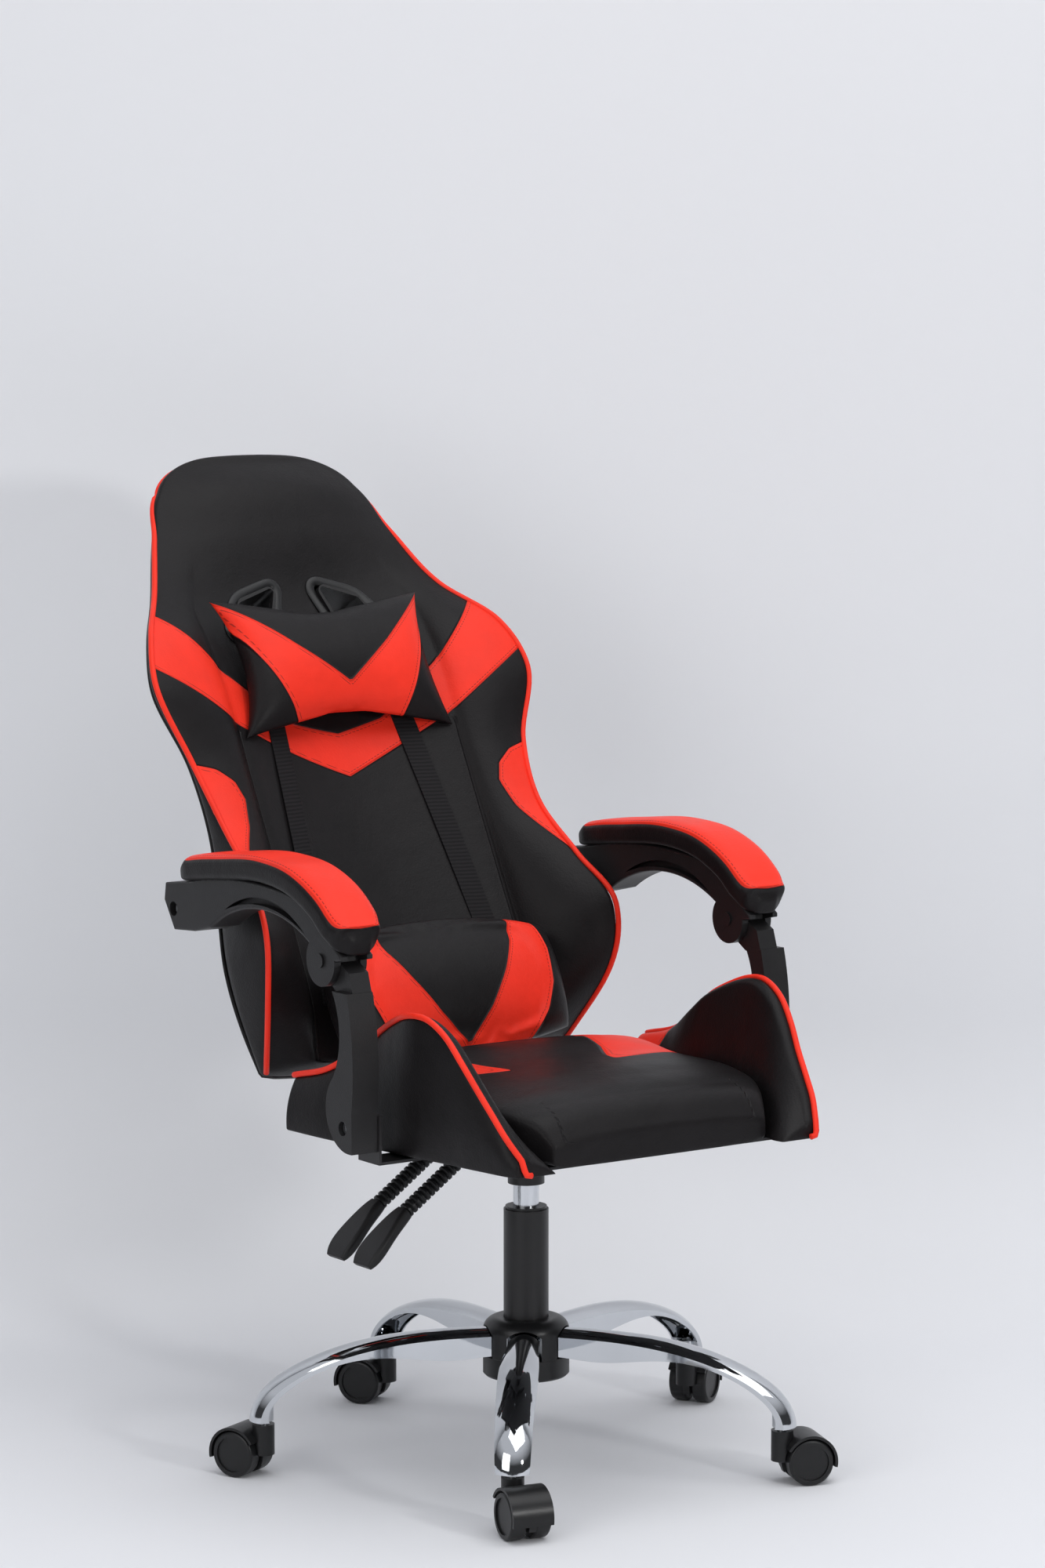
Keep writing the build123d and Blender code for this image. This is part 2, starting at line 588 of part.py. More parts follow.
def mechanism():
    outer = block(-BOX_HALF_X, BOX_HALF_X, BOX_FRONT_Y, BOX_REAR_Y, BOX_BOTTOM_Z, PLATE_Z)
    inner_x = BOX_HALF_X - BOX_WALL
    inner = block(-inner_x, inner_x, BOX_FRONT_Y + BOX_WALL, BOX_REAR_Y - BOX_WALL,
                  BOX_BOTTOM_Z + BOX_WALL, PLATE_Z)
    body = outer - inner
    body += block(-PLATE_HALF_X, PLATE_HALF_X, -PLATE_HALF_Y, PLATE_HALF_Y, PLATE_Z, PAN_Z)
    body += ring(CYLINDER_D / 2 + CONE_WALL, 0, CONE_BOTTOM_Z, BOX_BOTTOM_Z + BOX_WALL)
    for side in (-1, 1):
        near = side * (HINGE_BARREL_HALF + SOFT_GAP)
        ear_x = sorted((near, near + side * HINGE_EAR_T))
        body += block(*ear_x, BOX_REAR_Y - BOX_WALL, HINGE_Y + HINGE_PIN_D, HINGE_Z - HINGE_PIN_D, PLATE_Z)
    cone_start = CONE_BOTTOM_Z - CUT_PAST
    cone_low = cylinder_radius(CONE_BOTTOM_Z) + SEATED_GAP
    cone_high = cylinder_radius(CYLINDER_TOP_Z) + SEATED_GAP
    body -= turned([(0, cone_start), (cone_low, cone_start), (cone_low, CONE_BOTTOM_Z),
                    (cone_high, CYLINDER_TOP_Z), (cone_high, PLATE_Z - BOX_WALL), (0, PLATE_Z - BOX_WALL)])
    for lever_y in (LIFT_LEVER_Y, LOCK_LEVER_Y):
        body -= block(-BOX_HALF_X - CUT_PAST, CUT_PAST - inner_x, lever_y - LEVER_ROD_D, lever_y + LEVER_ROD_D,
                      LEVER_Z - LEVER_SLOT_H / 2, LEVER_Z + LEVER_SLOT_H / 2)
    body -= rod_y(LEVER_PIN_D / 2 + RUNNING_GAP, BOX_FRONT_Y - CUT_PAST, BOX_REAR_Y + CUT_PAST,
                  LEVER_PIVOT_X, LEVER_Z)
    body -= rod_x(HINGE_PIN_D / 2 + RUNNING_GAP, -PLATE_HALF_X, PLATE_HALF_X, HINGE_Y, HINGE_Z)
    for x, y in bolt_places():
        body -= Pos(x, y, 0) * ring(BOLT_D / 2 + BOLT_HOLE_GAP, 0, PLATE_Z - CUT_PAST, PAN_Z + CUT_PAST)
    return body


def lever_pin():
    return rod_y(LEVER_PIN_D / 2, BOX_FRONT_Y, BOX_REAR_Y, LEVER_PIVOT_X, LEVER_Z)


def recline_pin():
    half = HINGE_BARREL_HALF + SOFT_GAP + HINGE_EAR_T
    return rod_x(HINGE_PIN_D / 2, -half, half, HINGE_Y, HINGE_Z)


def seat_pan():
    rear = SEAT_REAR_Y - PAN_INSET
    front = SEAT_FRONT_Y + PAN_INSET
    wide = SEAT_HALF_W - PAN_INSET
    narrow = SEAT_FRONT_HALF_W - PAN_INSET
    outline = Polyline([(-wide, rear), (-narrow, front), (narrow, front), (wide, rear)], close=True)
    pan = Pos(0, 0, PAN_Z) * extrude(make_face(outline), PAN_T)
    for x, y in bolt_places():
        pan -= Pos(x, y, 0) * ring(BOLT_D / 2 + BOLT_HOLE_GAP, 0, PAN_Z - CUT_PAST, SEAT_Z + CUT_PAST)
    return pan


def seat_bolts():
    low = PLATE_Z - SEATED_GAP
    bolt = ring(BOLT_HEAD_D / 2, 0, low - BOLT_HEAD_H, low) + ring(BOLT_D / 2, 0, low, SEAT_Z)
    return [Pos(x, y, 0) * bolt for x, y in bolt_places()]


# Levers: a bent rod with an eye, a ribbed sleeve and a flat paddle
SLOPE = radians(LEVER_SLOPE)
LEVER_DOWN = Vector(-cos(SLOPE), 0, -sin(SLOPE))
BELLOWS_LEN = BELLOWS_RIBS * BELLOWS_PITCH


def lever_point(lever_y, distance):
    """A point on the sloping rod, by its distance from the bend."""
    return Vector(LEVER_BEND_X, lever_y, LEVER_Z) + LEVER_DOWN * distance


def lever_rod(lever_y):
    inner = Vector(LEVER_PIVOT_X + LEVER_INNER_REACH, lever_y, LEVER_Z)
    outer = lever_point(lever_y, BELLOWS_START + BELLOWS_LEN + PADDLE_SOCKET)
    path = FilletPolyline(inner, lever_point(lever_y, 0), outer, radius=LEVER_BEND_R)
    rod = sweep(Plane(origin=inner, z_dir=(-1, 0, 0)) * Circle(LEVER_ROD_D / 2), path=path)
    half = LEVER_EYE_W / 2
    rod += rod_y(LEVER_EYE_D / 2, lever_y - half, lever_y + half, LEVER_PIVOT_X, LEVER_Z)
    past = half + CUT_PAST
    return rod - rod_y(LEVER_PIN_D / 2 + RUNNING_GAP, lever_y - past, lever_y + past, LEVER_PIVOT_X, LEVER_Z)


def bellows(lever_y):
    rings = []
    shares = ((0.0, BELLOWS_ROOT_D), (BELLOWS_CREST[0], BELLOWS_D), (BELLOWS_CREST[1], BELLOWS_D),
              (BELLOWS_FOOT, BELLOWS_ROOT_D))
    for rib in range(BELLOWS_RIBS):
        for share, diameter in shares:
            at = lever_point(lever_y, BELLOWS_START + (rib + share) * BELLOWS_PITCH)
            rings.append(Plane(origin=at, x_dir=(0, 1, 0), z_dir=LEVER_DOWN) * Circle(diameter / 2))
    sleeve = loft(rings, ruled=True)
    start = Plane(origin=lever_point(lever_y, 0), x_dir=(0, 1, 0), z_dir=LEVER_DOWN)
    return sleeve - start * ring(BELLOWS_BORE_D / 2, 0, 0, BELLOWS_START + BELLOWS_LEN)


def paddle(lever_y):
    start = BELLOWS_START + BELLOWS_LEN + SOFT_GAP
    sections = []
    for share, wide, thick in PADDLE_STATIONS:
        width = PADDLE_W * wide
        droop = Vector(0, 0, -PADDLE_DROOP * share ** 2)
        at = lever_point(lever_y, start + share * PADDLE_LEN) + droop
        tip = radians(LEVER_SLOPE + PADDLE_DROOP * share)
        along = (-cos(tip), 0, -sin(tip))
        depth = PADDLE_T * thick
        section = RectangleRounded(width, depth, depth / 3)
        sections.append(Plane(origin=at, x_dir=(0, 1, 0), z_dir=along) * section)
    body = loft(sections)
    root = Plane(origin=lever_point(lever_y, start), x_dir=(0, 1, 0), z_dir=LEVER_DOWN)
    return body - root * ring(LEVER_ROD_D / 2 + RUNNING_GAP, 0, -CUT_PAST, PADDLE_SOCKET)


# Seat cushions, lofted from the rear to the front
def seat_plane(y):
    return Plane(origin=(0, y, CUSHION_Z), x_dir=(1, 0, 0), z_dir=(0, -1, 0))


def seat_cushion():
    sections = []
    for share, height, taper in CUSHION_STATIONS:
        half = CUSHION_HALF_W - taper * (CUSHION_HALF_W - CUSHION_FRONT_HALF_W) - 2 * CUSHION_SIDE_BULGE
        high = CUSHION_H * height
        outline = [
            Line((-half, 0), (half, 0)),
            ThreePointArc((half, 0), (half + CUSHION_SIDE_BULGE, high / 2), (half, high)),
            ThreePointArc((half, high), (0, high + CUSHION_CROWN), (-half, high)),
            ThreePointArc((-half, high), (-half - CUSHION_SIDE_BULGE, high / 2), (-half, 0)),
        ]
        y = SEAT_REAR_Y + share * (SEAT_FRONT_Y - SEAT_REAR_Y)
        sections.append(seat_plane(y) * make_face(outline))
    return loft(sections)


def seat_bolster():
    front = SEAT_FRONT_Y - BOLSTER_FRONT_OVERHANG
    taper = SEAT_HALF_W - SEAT_FRONT_HALF_W
    draw_in = CUSHION_HALF_W - CUSHION_FRONT_HALF_W
    peak_lean = SEAT_HALF_W - BOLSTER_PEAK_X
    sections = []
    for share, rise, side, lean, inner in BOLSTER_STATIONS:
        y = SEAT_REAR_Y + share * (front - SEAT_REAR_Y)
        high = BOLSTER_REAR_H + rise * (BOLSTER_PEAK_H - BOLSTER_REAR_H)
        out = SEAT_HALF_W - side * taper
        ridge = SEAT_HALF_W - lean * peak_lean
        near = CUSHION_HALF_W - inner * draw_in
        top_in = ridge - BOLSTER_TOP_W
        swell = (near + top_in) / 2 + CUSHION_SIDE_BULGE
        low = high - BOLSTER_ROLL
        top_low = low - BOLSTER_ROLL
        outline = [
            Line((near, 0), (out, 0)),
            ThreePointArc((out, 0), ((out + ridge) / 2 + CUSHION_SIDE_BULGE, high / 2), (ridge, low)),
            ThreePointArc((ridge, low), (ridge - BOLSTER_TOP_W / 2, high + BOLSTER_ROLL), (top_in, top_low)),
            ThreePointArc((top_in, top_low), (swell, high / 2), (near, 0)),
        ]
        sections.append(seat_plane(y) * make_face(outline))
    return loft(sections)


# Backrest, in its own slope
LEAN = radians(BACK_RECLINE)
UP_SLOPE = Vector(0, sin(LEAN), cos(LEAN))
FORWARD = Vector(0, -cos(LEAN), sin(LEAN))
BACK_FOOT = Vector(0, BACK_FOOT_Y, BACK_FOOT_Z)


def back_point(x, s, n):
    return BACK_FOOT + Vector(x, 0, 0) + UP_SLOPE * s + FORWARD * n


def across_back(s):
    """A plane square to the slope, with its Y towards the rear."""
    return Plane(origin=back_point(0, s, 0), x_dir=(1, 0, 0), z_dir=UP_SLOPE)


def along_back(x, s, n):
    """A plane square to X, with its X up the slope and its Y forward."""
    return Plane(origin=back_point(x, s, n), x_dir=UP_SLOPE, z_dir=(1, 0, 0))


def facing_back(n):
    """A plane on the backrest's face, with its X to the side and its Y up the slope."""
    return Plane(origin=back_point(0, 0, n), x_dir=(1, 0, 0), z_dir=FORWARD)


def back_block(x0, x1, s0, s1, n0, n1):
    face = Pos((x0 + x1) / 2, (s0 + s1) / 2) * Rectangle(x1 - x0, s1 - s0)
    return extrude(facing_back(n0) * face, n1 - n0, dir=FORWARD)


def seam_x(half):
    return min(BACK_SEAM_X, BACK_SEAM_SHARE * half)


def rear_middle(share):
    """How far back the middle of the padding reaches, less towards the head."""
    lost = max(share - BACK_REAR_EASE_FROM, 0) / (1 - BACK_REAR_EASE_FROM)
    return BACK_REAR_N * (1 - BACK_REAR_EASE * lost)


def padding():
    sections = []
    for share, half, edge, edge_rear, middle, seam in BACK_STATIONS:
        sx = seam_x(half)
        wing = ((half + sx) / 2 - WING_BULGE_SIDE, (edge + seam) / 2 + WING_BULGE_FRONT)
        outline = [
            ThreePointArc((half, -edge), (wing[0], -wing[1]), (sx, -seam)),
            ThreePointArc((sx, -seam), (0, -middle), (-sx, -seam)),
            ThreePointArc((-sx, -seam), (-wing[0], -wing[1]), (-half, -edge)),
            Line((-half, -edge), (-half, -edge_rear)),
            ThreePointArc((-half, -edge_rear), (0, -rear_middle(share)), (half, -edge_rear)),
            Line((half, -edge_rear), (half, -edge)),
        ]
        sections.append(across_back(share * BACK_LEN) * make_face(outline))
    return loft(sections)


def rear_shell():
    sections = []
    for share, half, _, edge_rear, _, _ in BACK_STATIONS:
        side = half - SHELL_EDGE_INSET
        near = -edge_rear - SHELL_LAP
        deep = -rear_middle(share) - SHELL_LAP
        outline = [
            ThreePointArc((-side, near), (0, deep), (side, near)),
            Line((side, near), (side, near + SHELL_LAP + SHELL_EDGE_T)),
            ThreePointArc((side, near + SHELL_LAP + SHELL_EDGE_T), (0, deep + SHELL_LAP + SHELL_T),
                          (-side, near + SHELL_LAP + SHELL_EDGE_T)),
            Line((-side, near + SHELL_LAP + SHELL_EDGE_T), (-side, near)),
        ]
        sections.append(across_back(share * BACK_LEN) * make_face(outline))
    return loft(sections)


FAR = 2 * BACK_LEN
SHELL_REAR_N = BACK_REAR_N - SOFT_GAP - SHELL_T
BACK_BOLT_END_N = SHELL_REAR_N + BACK_BOLT_GRIP


def strap_hole(grow):
    """The right-hand strap opening, or its moulding when grown by less than nothing."""
    inner = GROMMET_INNER_X - grow
    high = GROMMET_TOP_S + grow
    low = GROMMET_TOP_S - GROMMET_H - grow
    corners = [(inner, high), (inner + GROMMET_TOP_W + grow, high - GROMMET_FALL),
               (inner + GROMMET_FOOT_W + 2 * grow, low + GROMMET_FALL), (inner + GROMMET_TOP_W / 2, low)]
    face = make_face(Polyline(corners, close=True))
    face = fillet(face.vertices(), GROMMET_CORNER_R + grow)
    return face


def hole_prism(grow, n0, n1):
    return extrude(facing_back(n0) * strap_hole(grow), n1 - n0, dir=FORWARD)


def both_sides(shape):
    return [shape, mirrored(shape)]


def back_bolt_prism(radius, n0, n1):
    bolts = []
    for x in (-BACK_BOLT_X, BACK_BOLT_X):
        for s in BACK_BOLT_S:
            bolts.append(facing_back(0) * Pos(x, s, 0) * ring(radius, 0, n0, n1))
    return bolts


def arm_boss_x():
    """Inner end of the arm's boss, sunk in the wing's side."""
    return wing_half_at_eye() - ARM_BOSS_SUNK


def wing_half_at_eye():
    eye = Vector(0, ARM_EYE_Y, ARM_EYE_Z) - BACK_FOOT
    share = eye.dot(UP_SLOPE) / BACK_LEN
    for low, high in zip(BACK_STATIONS, BACK_STATIONS[1:]):
        if low[0] <= share <= high[0]:
            blend = (share - low[0]) / (high[0] - low[0])
            return low[1] + blend * (high[1] - low[1])
    return BACK_STATIONS[-1][1]


def surface_n(x, s):
    """Forward reach of the backrest's middle panel, by its stations."""
    share = s / BACK_LEN
    for low, high in zip(BACK_STATIONS, BACK_STATIONS[1:]):
        if low[0] <= share <= high[0]:
            blend = (share - low[0]) / (high[0] - low[0])
            middle = low[4] + blend * (high[4] - low[4])
            seam = low[5] + blend * (high[5] - low[5])
            return middle + (seam - middle) * (x / BACK_SEAM_X) ** 2
    return BACK_STATIONS[-1][4]


def strap():
    sections = []
    for share in (0.0, 0.33, 0.67, 1.0):
        s = STRAP_TOP_S + share * (STRAP_FOOT_S - STRAP_TOP_S)
        x = STRAP_TOP_X + share * (STRAP_FOOT_X - STRAP_TOP_X)
        near, far = x - STRAP_W / 2, x + STRAP_W / 2
        low = STRAP_PROUD
        high = STRAP_PROUD + STRAP_T
        corners = [(near, -surface_n(near, s) - low), (far, -surface_n(far, s) - low),
                   (far, -surface_n(far, s) - high), (near, -surface_n(near, s) - high)]
        sections.append(across_back(s) * make_face(Polyline(corners, close=True)))
    return loft(sections)


def back_bar():
    """An L of flat steel from the hinge, under the seat, up the rear of the shell."""
    front_n = SHELL_REAR_N - SOFT_GAP
    rear_n = front_n - BACK_BAR_T
    top_front = back_point(0, BACK_BAR_TOP_S, front_n)
    top_rear = back_point(0, BACK_BAR_TOP_S, rear_n)
    low_z = HINGE_Z - BACK_BAR_T / 2
    high_z = HINGE_Z + BACK_BAR_T / 2
    front_s = (high_z - back_point(0, 0, front_n).Z) / UP_SLOPE.Z
    rear_s = (low_z - back_point(0, 0, rear_n).Z) / UP_SLOPE.Z
    corner_front = back_point(0, front_s, front_n)
    corner_rear = back_point(0, rear_s, rear_n)
    outline = Polyline([yz(HINGE_Y, high_z), (0, corner_front.Y, high_z), (0, top_front.Y, top_front.Z),
                        (0, top_rear.Y, top_rear.Z), (0, corner_rear.Y, low_z), yz(HINGE_Y, low_z)], close=True)
    bar = side_plate(outline, -BACK_BAR_W / 2, BACK_BAR_W / 2)
    for x0, x1 in ((-BACK_BAR_W, -HINGE_BARREL_HALF), (HINGE_BARREL_HALF, BACK_BAR_W)):
        bar -= block(x0, x1, 0, HINGE_Y + HINGE_BARREL_D, low_z - CUT_PAST, high_z + CUT_PAST)
    bar += rod_x(HINGE_BARREL_D / 2, -HINGE_BARREL_HALF, HINGE_BARREL_HALF, HINGE_Y, HINGE_Z)
    bar -= rod_x(HINGE_PIN_D / 2 + RUNNING_GAP, -BACK_BAR_W, BACK_BAR_W, HINGE_Y, HINGE_Z)
    for hole in back_bolt_prism(BOLT_D / 2 + BOLT_HOLE_GAP, rear_n - CUT_PAST, front_n + CUT_PAST):
        bar -= hole
    return bar


def back_bolts():
    rear_n = SHELL_REAR_N - SOFT_GAP - BACK_BAR_T - SEATED_GAP
    heads = back_bolt_prism(BOLT_HEAD_D / 2, rear_n - BOLT_HEAD_H, rear_n)
    shanks = back_bolt_prism(BOLT_D / 2, rear_n, BACK_BOLT_END_N)
    return [head + shank for head, shank in zip(heads, shanks)]


def pillow(s, n, half_width, stations):
    """A pillow lofted from side to side through lens-shaped sections, from its middle's station outwards."""
    across = [(-x, *size) for x, *size in stations[:0:-1]] + list(stations)
    sections = []
    for share, height, front, rear in across:
        half = height / 2
        outline = [
            ThreePointArc((-half, 0), (0, front), (half, 0)),
            ThreePointArc((half, 0), (0, -rear), (-half, 0)),
        ]
        sections.append(along_back(share * half_width, s, n) * make_face(outline))
    return loft(sections)


def head_pillow():
    stations = []
    for x, extra, front, rear in HEAD_PILLOW_STATIONS:
        height = HEAD_PILLOW_WAIST + extra * (HEAD_PILLOW_H - HEAD_PILLOW_WAIST)
        stations.append((x, height, front * HEAD_PILLOW_FRONT, rear * HEAD_PILLOW_REAR))
    return pillow(HEAD_PILLOW_S, HEAD_PILLOW_N, HEAD_PILLOW_W / 2, stations)


def lumbar_pillow():
    stations = []
    for x, height, front, rear in LUMBAR_STATIONS:
        stations.append((x, height * LUMBAR_H, front * LUMBAR_FRONT, rear * LUMBAR_REAR))
    return pillow(LUMBAR_S, LUMBAR_N, LUMBAR_W / 2, stations)


# Armrests, drawn for the sitter's left (+X) side and mirrored
ARM_IN = ARM_X - ARM_W / 2
ARM_OUT = ARM_X + ARM_W / 2
SLAB_IN = ARM_IN + EAR_T + KNUCKLE_GAP
SLAB_OUT = ARM_OUT - EAR_T - KNUCKLE_GAP
POST_IN = ARM_OUT - POST_T


def by_pivot(y, z):
    """A point of the arm, from its pivot on the post."""
    return yz(ARM_PIVOT_Y + y, ARM_PIVOT_Z + z)


def arm_outline():
    top = [by_pivot(*point) for point in ARM_TOP]
    nose = [by_pivot(*point) for point in ARM_NOSE]
    under = [by_pivot(*point) for point in ARM_UNDER]
    tail = [by_pivot(ARM_REACH + y, ARM_EYE_UP + z) for y, z in ARM_TAIL]
    return [
        ThreePointArc(*top),
        ThreePointArc(top[-1], *nose[:2]),
        *Polyline(*nose[1:], *under[:2]).edges(),
        ThreePointArc(*under[1:4]),
        *Polyline(*under[3:], *tail, top[0]).edges(),
    ]


def rounded_sides(body, x0, x1, radius):
    """The body with the edges of its two side faces rounded."""
    rim = [edge for x in (x0, x1) for edge in body.edges().filter_by_position(Axis.X, x, x)]
    return fillet(rim, radius)


def arm_frame():
    body = rounded_sides(side_plate(arm_outline(), ARM_IN, ARM_OUT), ARM_IN, ARM_OUT, ARM_EDGE_R)
    for ear_in in (ARM_IN, ARM_OUT - EAR_T):
        body += rod_x(EAR_R, ear_in, ear_in + EAR_T, ARM_PIVOT_Y, ARM_PIVOT_Z)
    fork = (ARM_IN + EAR_T, ARM_OUT - EAR_T)
    body -= rod_x(KNUCKLE_R + FORK_GAP, *fork, ARM_PIVOT_Y, ARM_PIVOT_Z)
    body -= block(*fork, ARM_PIVOT_Y - FORK_REACH, ARM_PIVOT_Y,
                  ARM_PIVOT_Z - FORK_REACH, ARM_PIVOT_Z + FORK_REACH)
    start, high, end, low = [by_pivot(*point) for point in ARM_LENS]
    lens = [ThreePointArc(start, high, end), ThreePointArc(end, low, start)]
    body -= side_plate(lens, ARM_IN - CUT_PAST, ARM_IN + ARM_POCKET_DEPTH)
    body -= side_plate(lens, ARM_OUT - ARM_POCKET_DEPTH, ARM_OUT + CUT_PAST)
    through = (ARM_IN - CUT_PAST, ARM_OUT + CUT_PAST)
    body -= rod_x(ARM_PIN_D / 2 + RUNNING_GAP, *through, ARM_PIVOT_Y, ARM_PIVOT_Z)
    return body - rod_x(ARM_EYE_D / 2, *through, ARM_EYE_Y, ARM_EYE_Z)


def arm_pin():
    pin = rod_x(ARM_PIN_D / 2, ARM_IN - ARM_PIN_HEAD_T, ARM_OUT + ARM_PIN_HEAD_T, ARM_PIVOT_Y, ARM_PIVOT_Z)
    for head_in in (ARM_IN - SEATED_GAP - ARM_PIN_HEAD_T, ARM_OUT + SEATED_GAP):
        pin += rod_x(ARM_PIN_HEAD_D / 2, head_in, head_in + ARM_PIN_HEAD_T, ARM_PIVOT_Y, ARM_PIVOT_Z)
    return pin


def arm_pad():
    sections = []
    for (y, z), (along_y, along_z), wide, thick in PAD_STATIONS:
        half = PAD_W * wide / 2
        high = PAD_T * thick
        foot = half - PAD_FOOT_INSET
        shoulder = half - PAD_SHOULDER_INSET
        bulge_z = PAD_BULGE_SHARE * high
        shoulder_z = PAD_SHOULDER_SHARE * high
        outline = [
            Line((-foot, 0), (foot, 0)),
            ThreePointArc((foot, 0), (half, bulge_z), (shoulder, shoulder_z)),
            ThreePointArc((shoulder, shoulder_z), (0, high), (-shoulder, shoulder_z)),
            ThreePointArc((-shoulder, shoulder_z), (-half, bulge_z), (-foot, 0)),
        ]
        _, at_y, at_z = by_pivot(y, z + SOFT_GAP)
        plane = Plane(origin=(ARM_X, at_y, at_z), x_dir=(1, 0, 0), z_dir=(0, along_y, along_z))
        sections.append(plane * make_face(outline))
    seat = Pos(0, 0, SOFT_GAP) * side_plate(arm_outline(), ARM_IN - SOFT_GAP, ARM_OUT + SOFT_GAP)
    return loft(sections) - seat


def by_foot(y, z):
    """A point of the post, from its pivot on the seat."""
    return yz(POST_FOOT_Y + y, POST_FOOT_Z + z)


def post():
    rear = [by_foot(*point) for point in POST_REAR]
    front = [by_foot(*point) for point in POST_FRONT]
    outline = [
        ThreePointArc(*rear[:3]),
        ThreePointArc(*rear[2:]),
        *Polyline(rear[-1], *front[:2]).edges(),
        ThreePointArc(*front[1:]),
        Line(front[-1], rear[0]),
    ]
    body = side_plate(outline, POST_IN, ARM_OUT)
    lap = [by_foot(y, z - POST_NECK_LAP) for y, z in (POST_FRONT[-1], POST_REAR[0])]
    neck = Polyline([*lap, *(by_pivot(*point) for point in POST_NECK)], close=True)
    body += side_plate(neck, SLAB_IN, SLAB_OUT)
    body += rod_x(KNUCKLE_R, SLAB_IN, SLAB_OUT, ARM_PIVOT_Y, ARM_PIVOT_Z)
    through = (SLAB_IN - CUT_PAST, SLAB_OUT + CUT_PAST)
    body -= rod_x(ARM_PIN_D / 2 + RUNNING_GAP, *through, ARM_PIVOT_Y, ARM_PIVOT_Z)
    body -= rod_x(BOLT_D / 2 + RUNNING_GAP, POST_IN - CUT_PAST, ARM_OUT, POST_FOOT_Y, POST_FOOT_Z)
    counterbore = ARM_OUT - 2 * BOLT_HEAD_H
    return body - rod_x(BOLT_HEAD_D / 2 + HEAD_GAP, counterbore, ARM_OUT + CUT_PAST, POST_FOOT_Y, POST_FOOT_Z)


def post_bracket():
    outer = POST_IN - SOFT_GAP
    inner = outer - ARM_BRACKET_T
    y0 = POST_FOOT_Y - ARM_BRACKET_HALF_Y
    y1 = POST_FOOT_Y + ARM_BRACKET_HALF_Y
    bracket = block(inner, outer, y0, y1, PLATE_Z, POST_FOOT_Z + BOLT_HEAD_D)
    bracket += block(outer - ARM_BRACKET_REACH, outer, y0, y1, PLATE_Z, PAN_Z)
    through = (inner - CUT_PAST, outer + CUT_PAST)
    return bracket - rod_x(BOLT_D / 2 + BOLT_HOLE_GAP, *through, POST_FOOT_Y, POST_FOOT_Z)


def post_bolt():
    bracket_in = POST_IN - SOFT_GAP - ARM_BRACKET_T - SEATED_GAP
    head_in = ARM_OUT - 2 * BOLT_HEAD_H + SEATED_GAP
    bolt = rod_x(BOLT_D / 2, bracket_in - BOLT_HEAD_H, head_in + BOLT_HEAD_H, POST_FOOT_Y, POST_FOOT_Z)
    bolt += rod_x(BOLT_HEAD_D / 2, bracket_in - BOLT_HEAD_H, bracket_in, POST_FOOT_Y, POST_FOOT_Z)
    return bolt + rod_x(BOLT_HEAD_D / 2, head_in, head_in + BOLT_HEAD_H, POST_FOOT_Y, POST_FOOT_Z)


def arm_bolt():
    boss = rod_x(ARM_BOSS_D / 2, arm_boss_x() + SEATED_GAP, ARM_IN - SOFT_GAP, ARM_EYE_Y, ARM_EYE_Z)
    return boss + rod_x(BOLT_D / 2, arm_boss_x() + SEATED_GAP, ARM_OUT - BOLT_HEAD_H, ARM_EYE_Y, ARM_EYE_Z)


# Rolling base
for index in range(LEG_COUNT):
    number = index + 1
    turn = Rot(0, 0, FIRST_LEG_ANGLE + 360 / LEG_COUNT * index)
    place = turn * Pos(STEM_CIRCLE_R, 0, 0) * Rot(0, 0, CASTER_TURNS[index])
    nodes[f"leg_{number}"] = [turn * leg()]
    nodes[f"caster_{number}_housing"] = [place * caster_housing()]
    nodes[f"caster_{number}_pins"] = [place * pin for pin in caster_pins()]
    nodes[f"caster_{number}_wheels"] = [place * wheel for wheel in caster_wheels()]

nodes["hub_core"] = [hub_core()]
nodes["hub_cover_upper"] = [hub_cover_upper()]
nodes["hub_cover_lower"] = [hub_cover_lower()]
nodes["gas_tube"] = [gas_tube()]
nodes["guide_bush"] = [guide_bush()]
nodes["piston_rod"] = [piston_rod(), rod_clip()]
nodes["gas_cylinder"] = [gas_cylinder()]
nodes["release_button"] = [release_button()]

# Seat
nodes["mechanism"] = [mechanism()]
nodes["seat_pan"] = [seat_pan()]
nodes["seat_fasteners"] = [lever_pin(), recline_pin(), *seat_bolts(), *both_sides(post_bolt())]
nodes["seat_cushion"] = [seat_cushion()]
nodes["seat_bolster_left"] = [seat_bolster()]
nodes["seat_bolster_right"] = [mirrored(seat_bolster())]
for name, lever_y in (("lift", LIFT_LEVER_Y), ("lock", LOCK_LEVER_Y)):
    nodes[f"{name}_lever_rod"] = [lever_rod(lever_y)]
    nodes[f"{name}_lever_bellows"] = [bellows(lever_y)]
    nodes[f"{name}_lever_paddle"] = [paddle(lever_y)]

# Backrest: the padding is cut into a middle, two wings and a head, over one rear shell
pad = padding()
for side in (-1, 1):
    boss_room = sorted((side * arm_boss_x(), side * SEAT_HALF_W))
    pad -= rod_x(ARM_BOSS_D / 2 + SOFT_GAP, *boss_room, ARM_EYE_Y, ARM_EYE_Z)
shell = rear_shell() - Pos(*(FORWARD * -SOFT_GAP)) * pad
for opening in both_sides(hole_prism(0, -FAR, FAR)):
    pad -= opening
    shell -= opening
for hole in back_bolt_prism(BOLT_D / 2 + BOLT_HOLE_GAP, SHELL_REAR_N - CUT_PAST, BACK_BOLT_END_N + SEATED_GAP):
    shell -= hole
split = SOFT_GAP / 2
inner_x = BACK_SEAM_X - split
wing_block = back_block(BACK_SEAM_X + split, FAR, -FAR, BACK_HEAD_S - split, -FAR, FAR)
nodes["back_middle"] = [pad & back_block(-inner_x, inner_x, -FAR, BACK_HEAD_S - split, -FAR, FAR)]
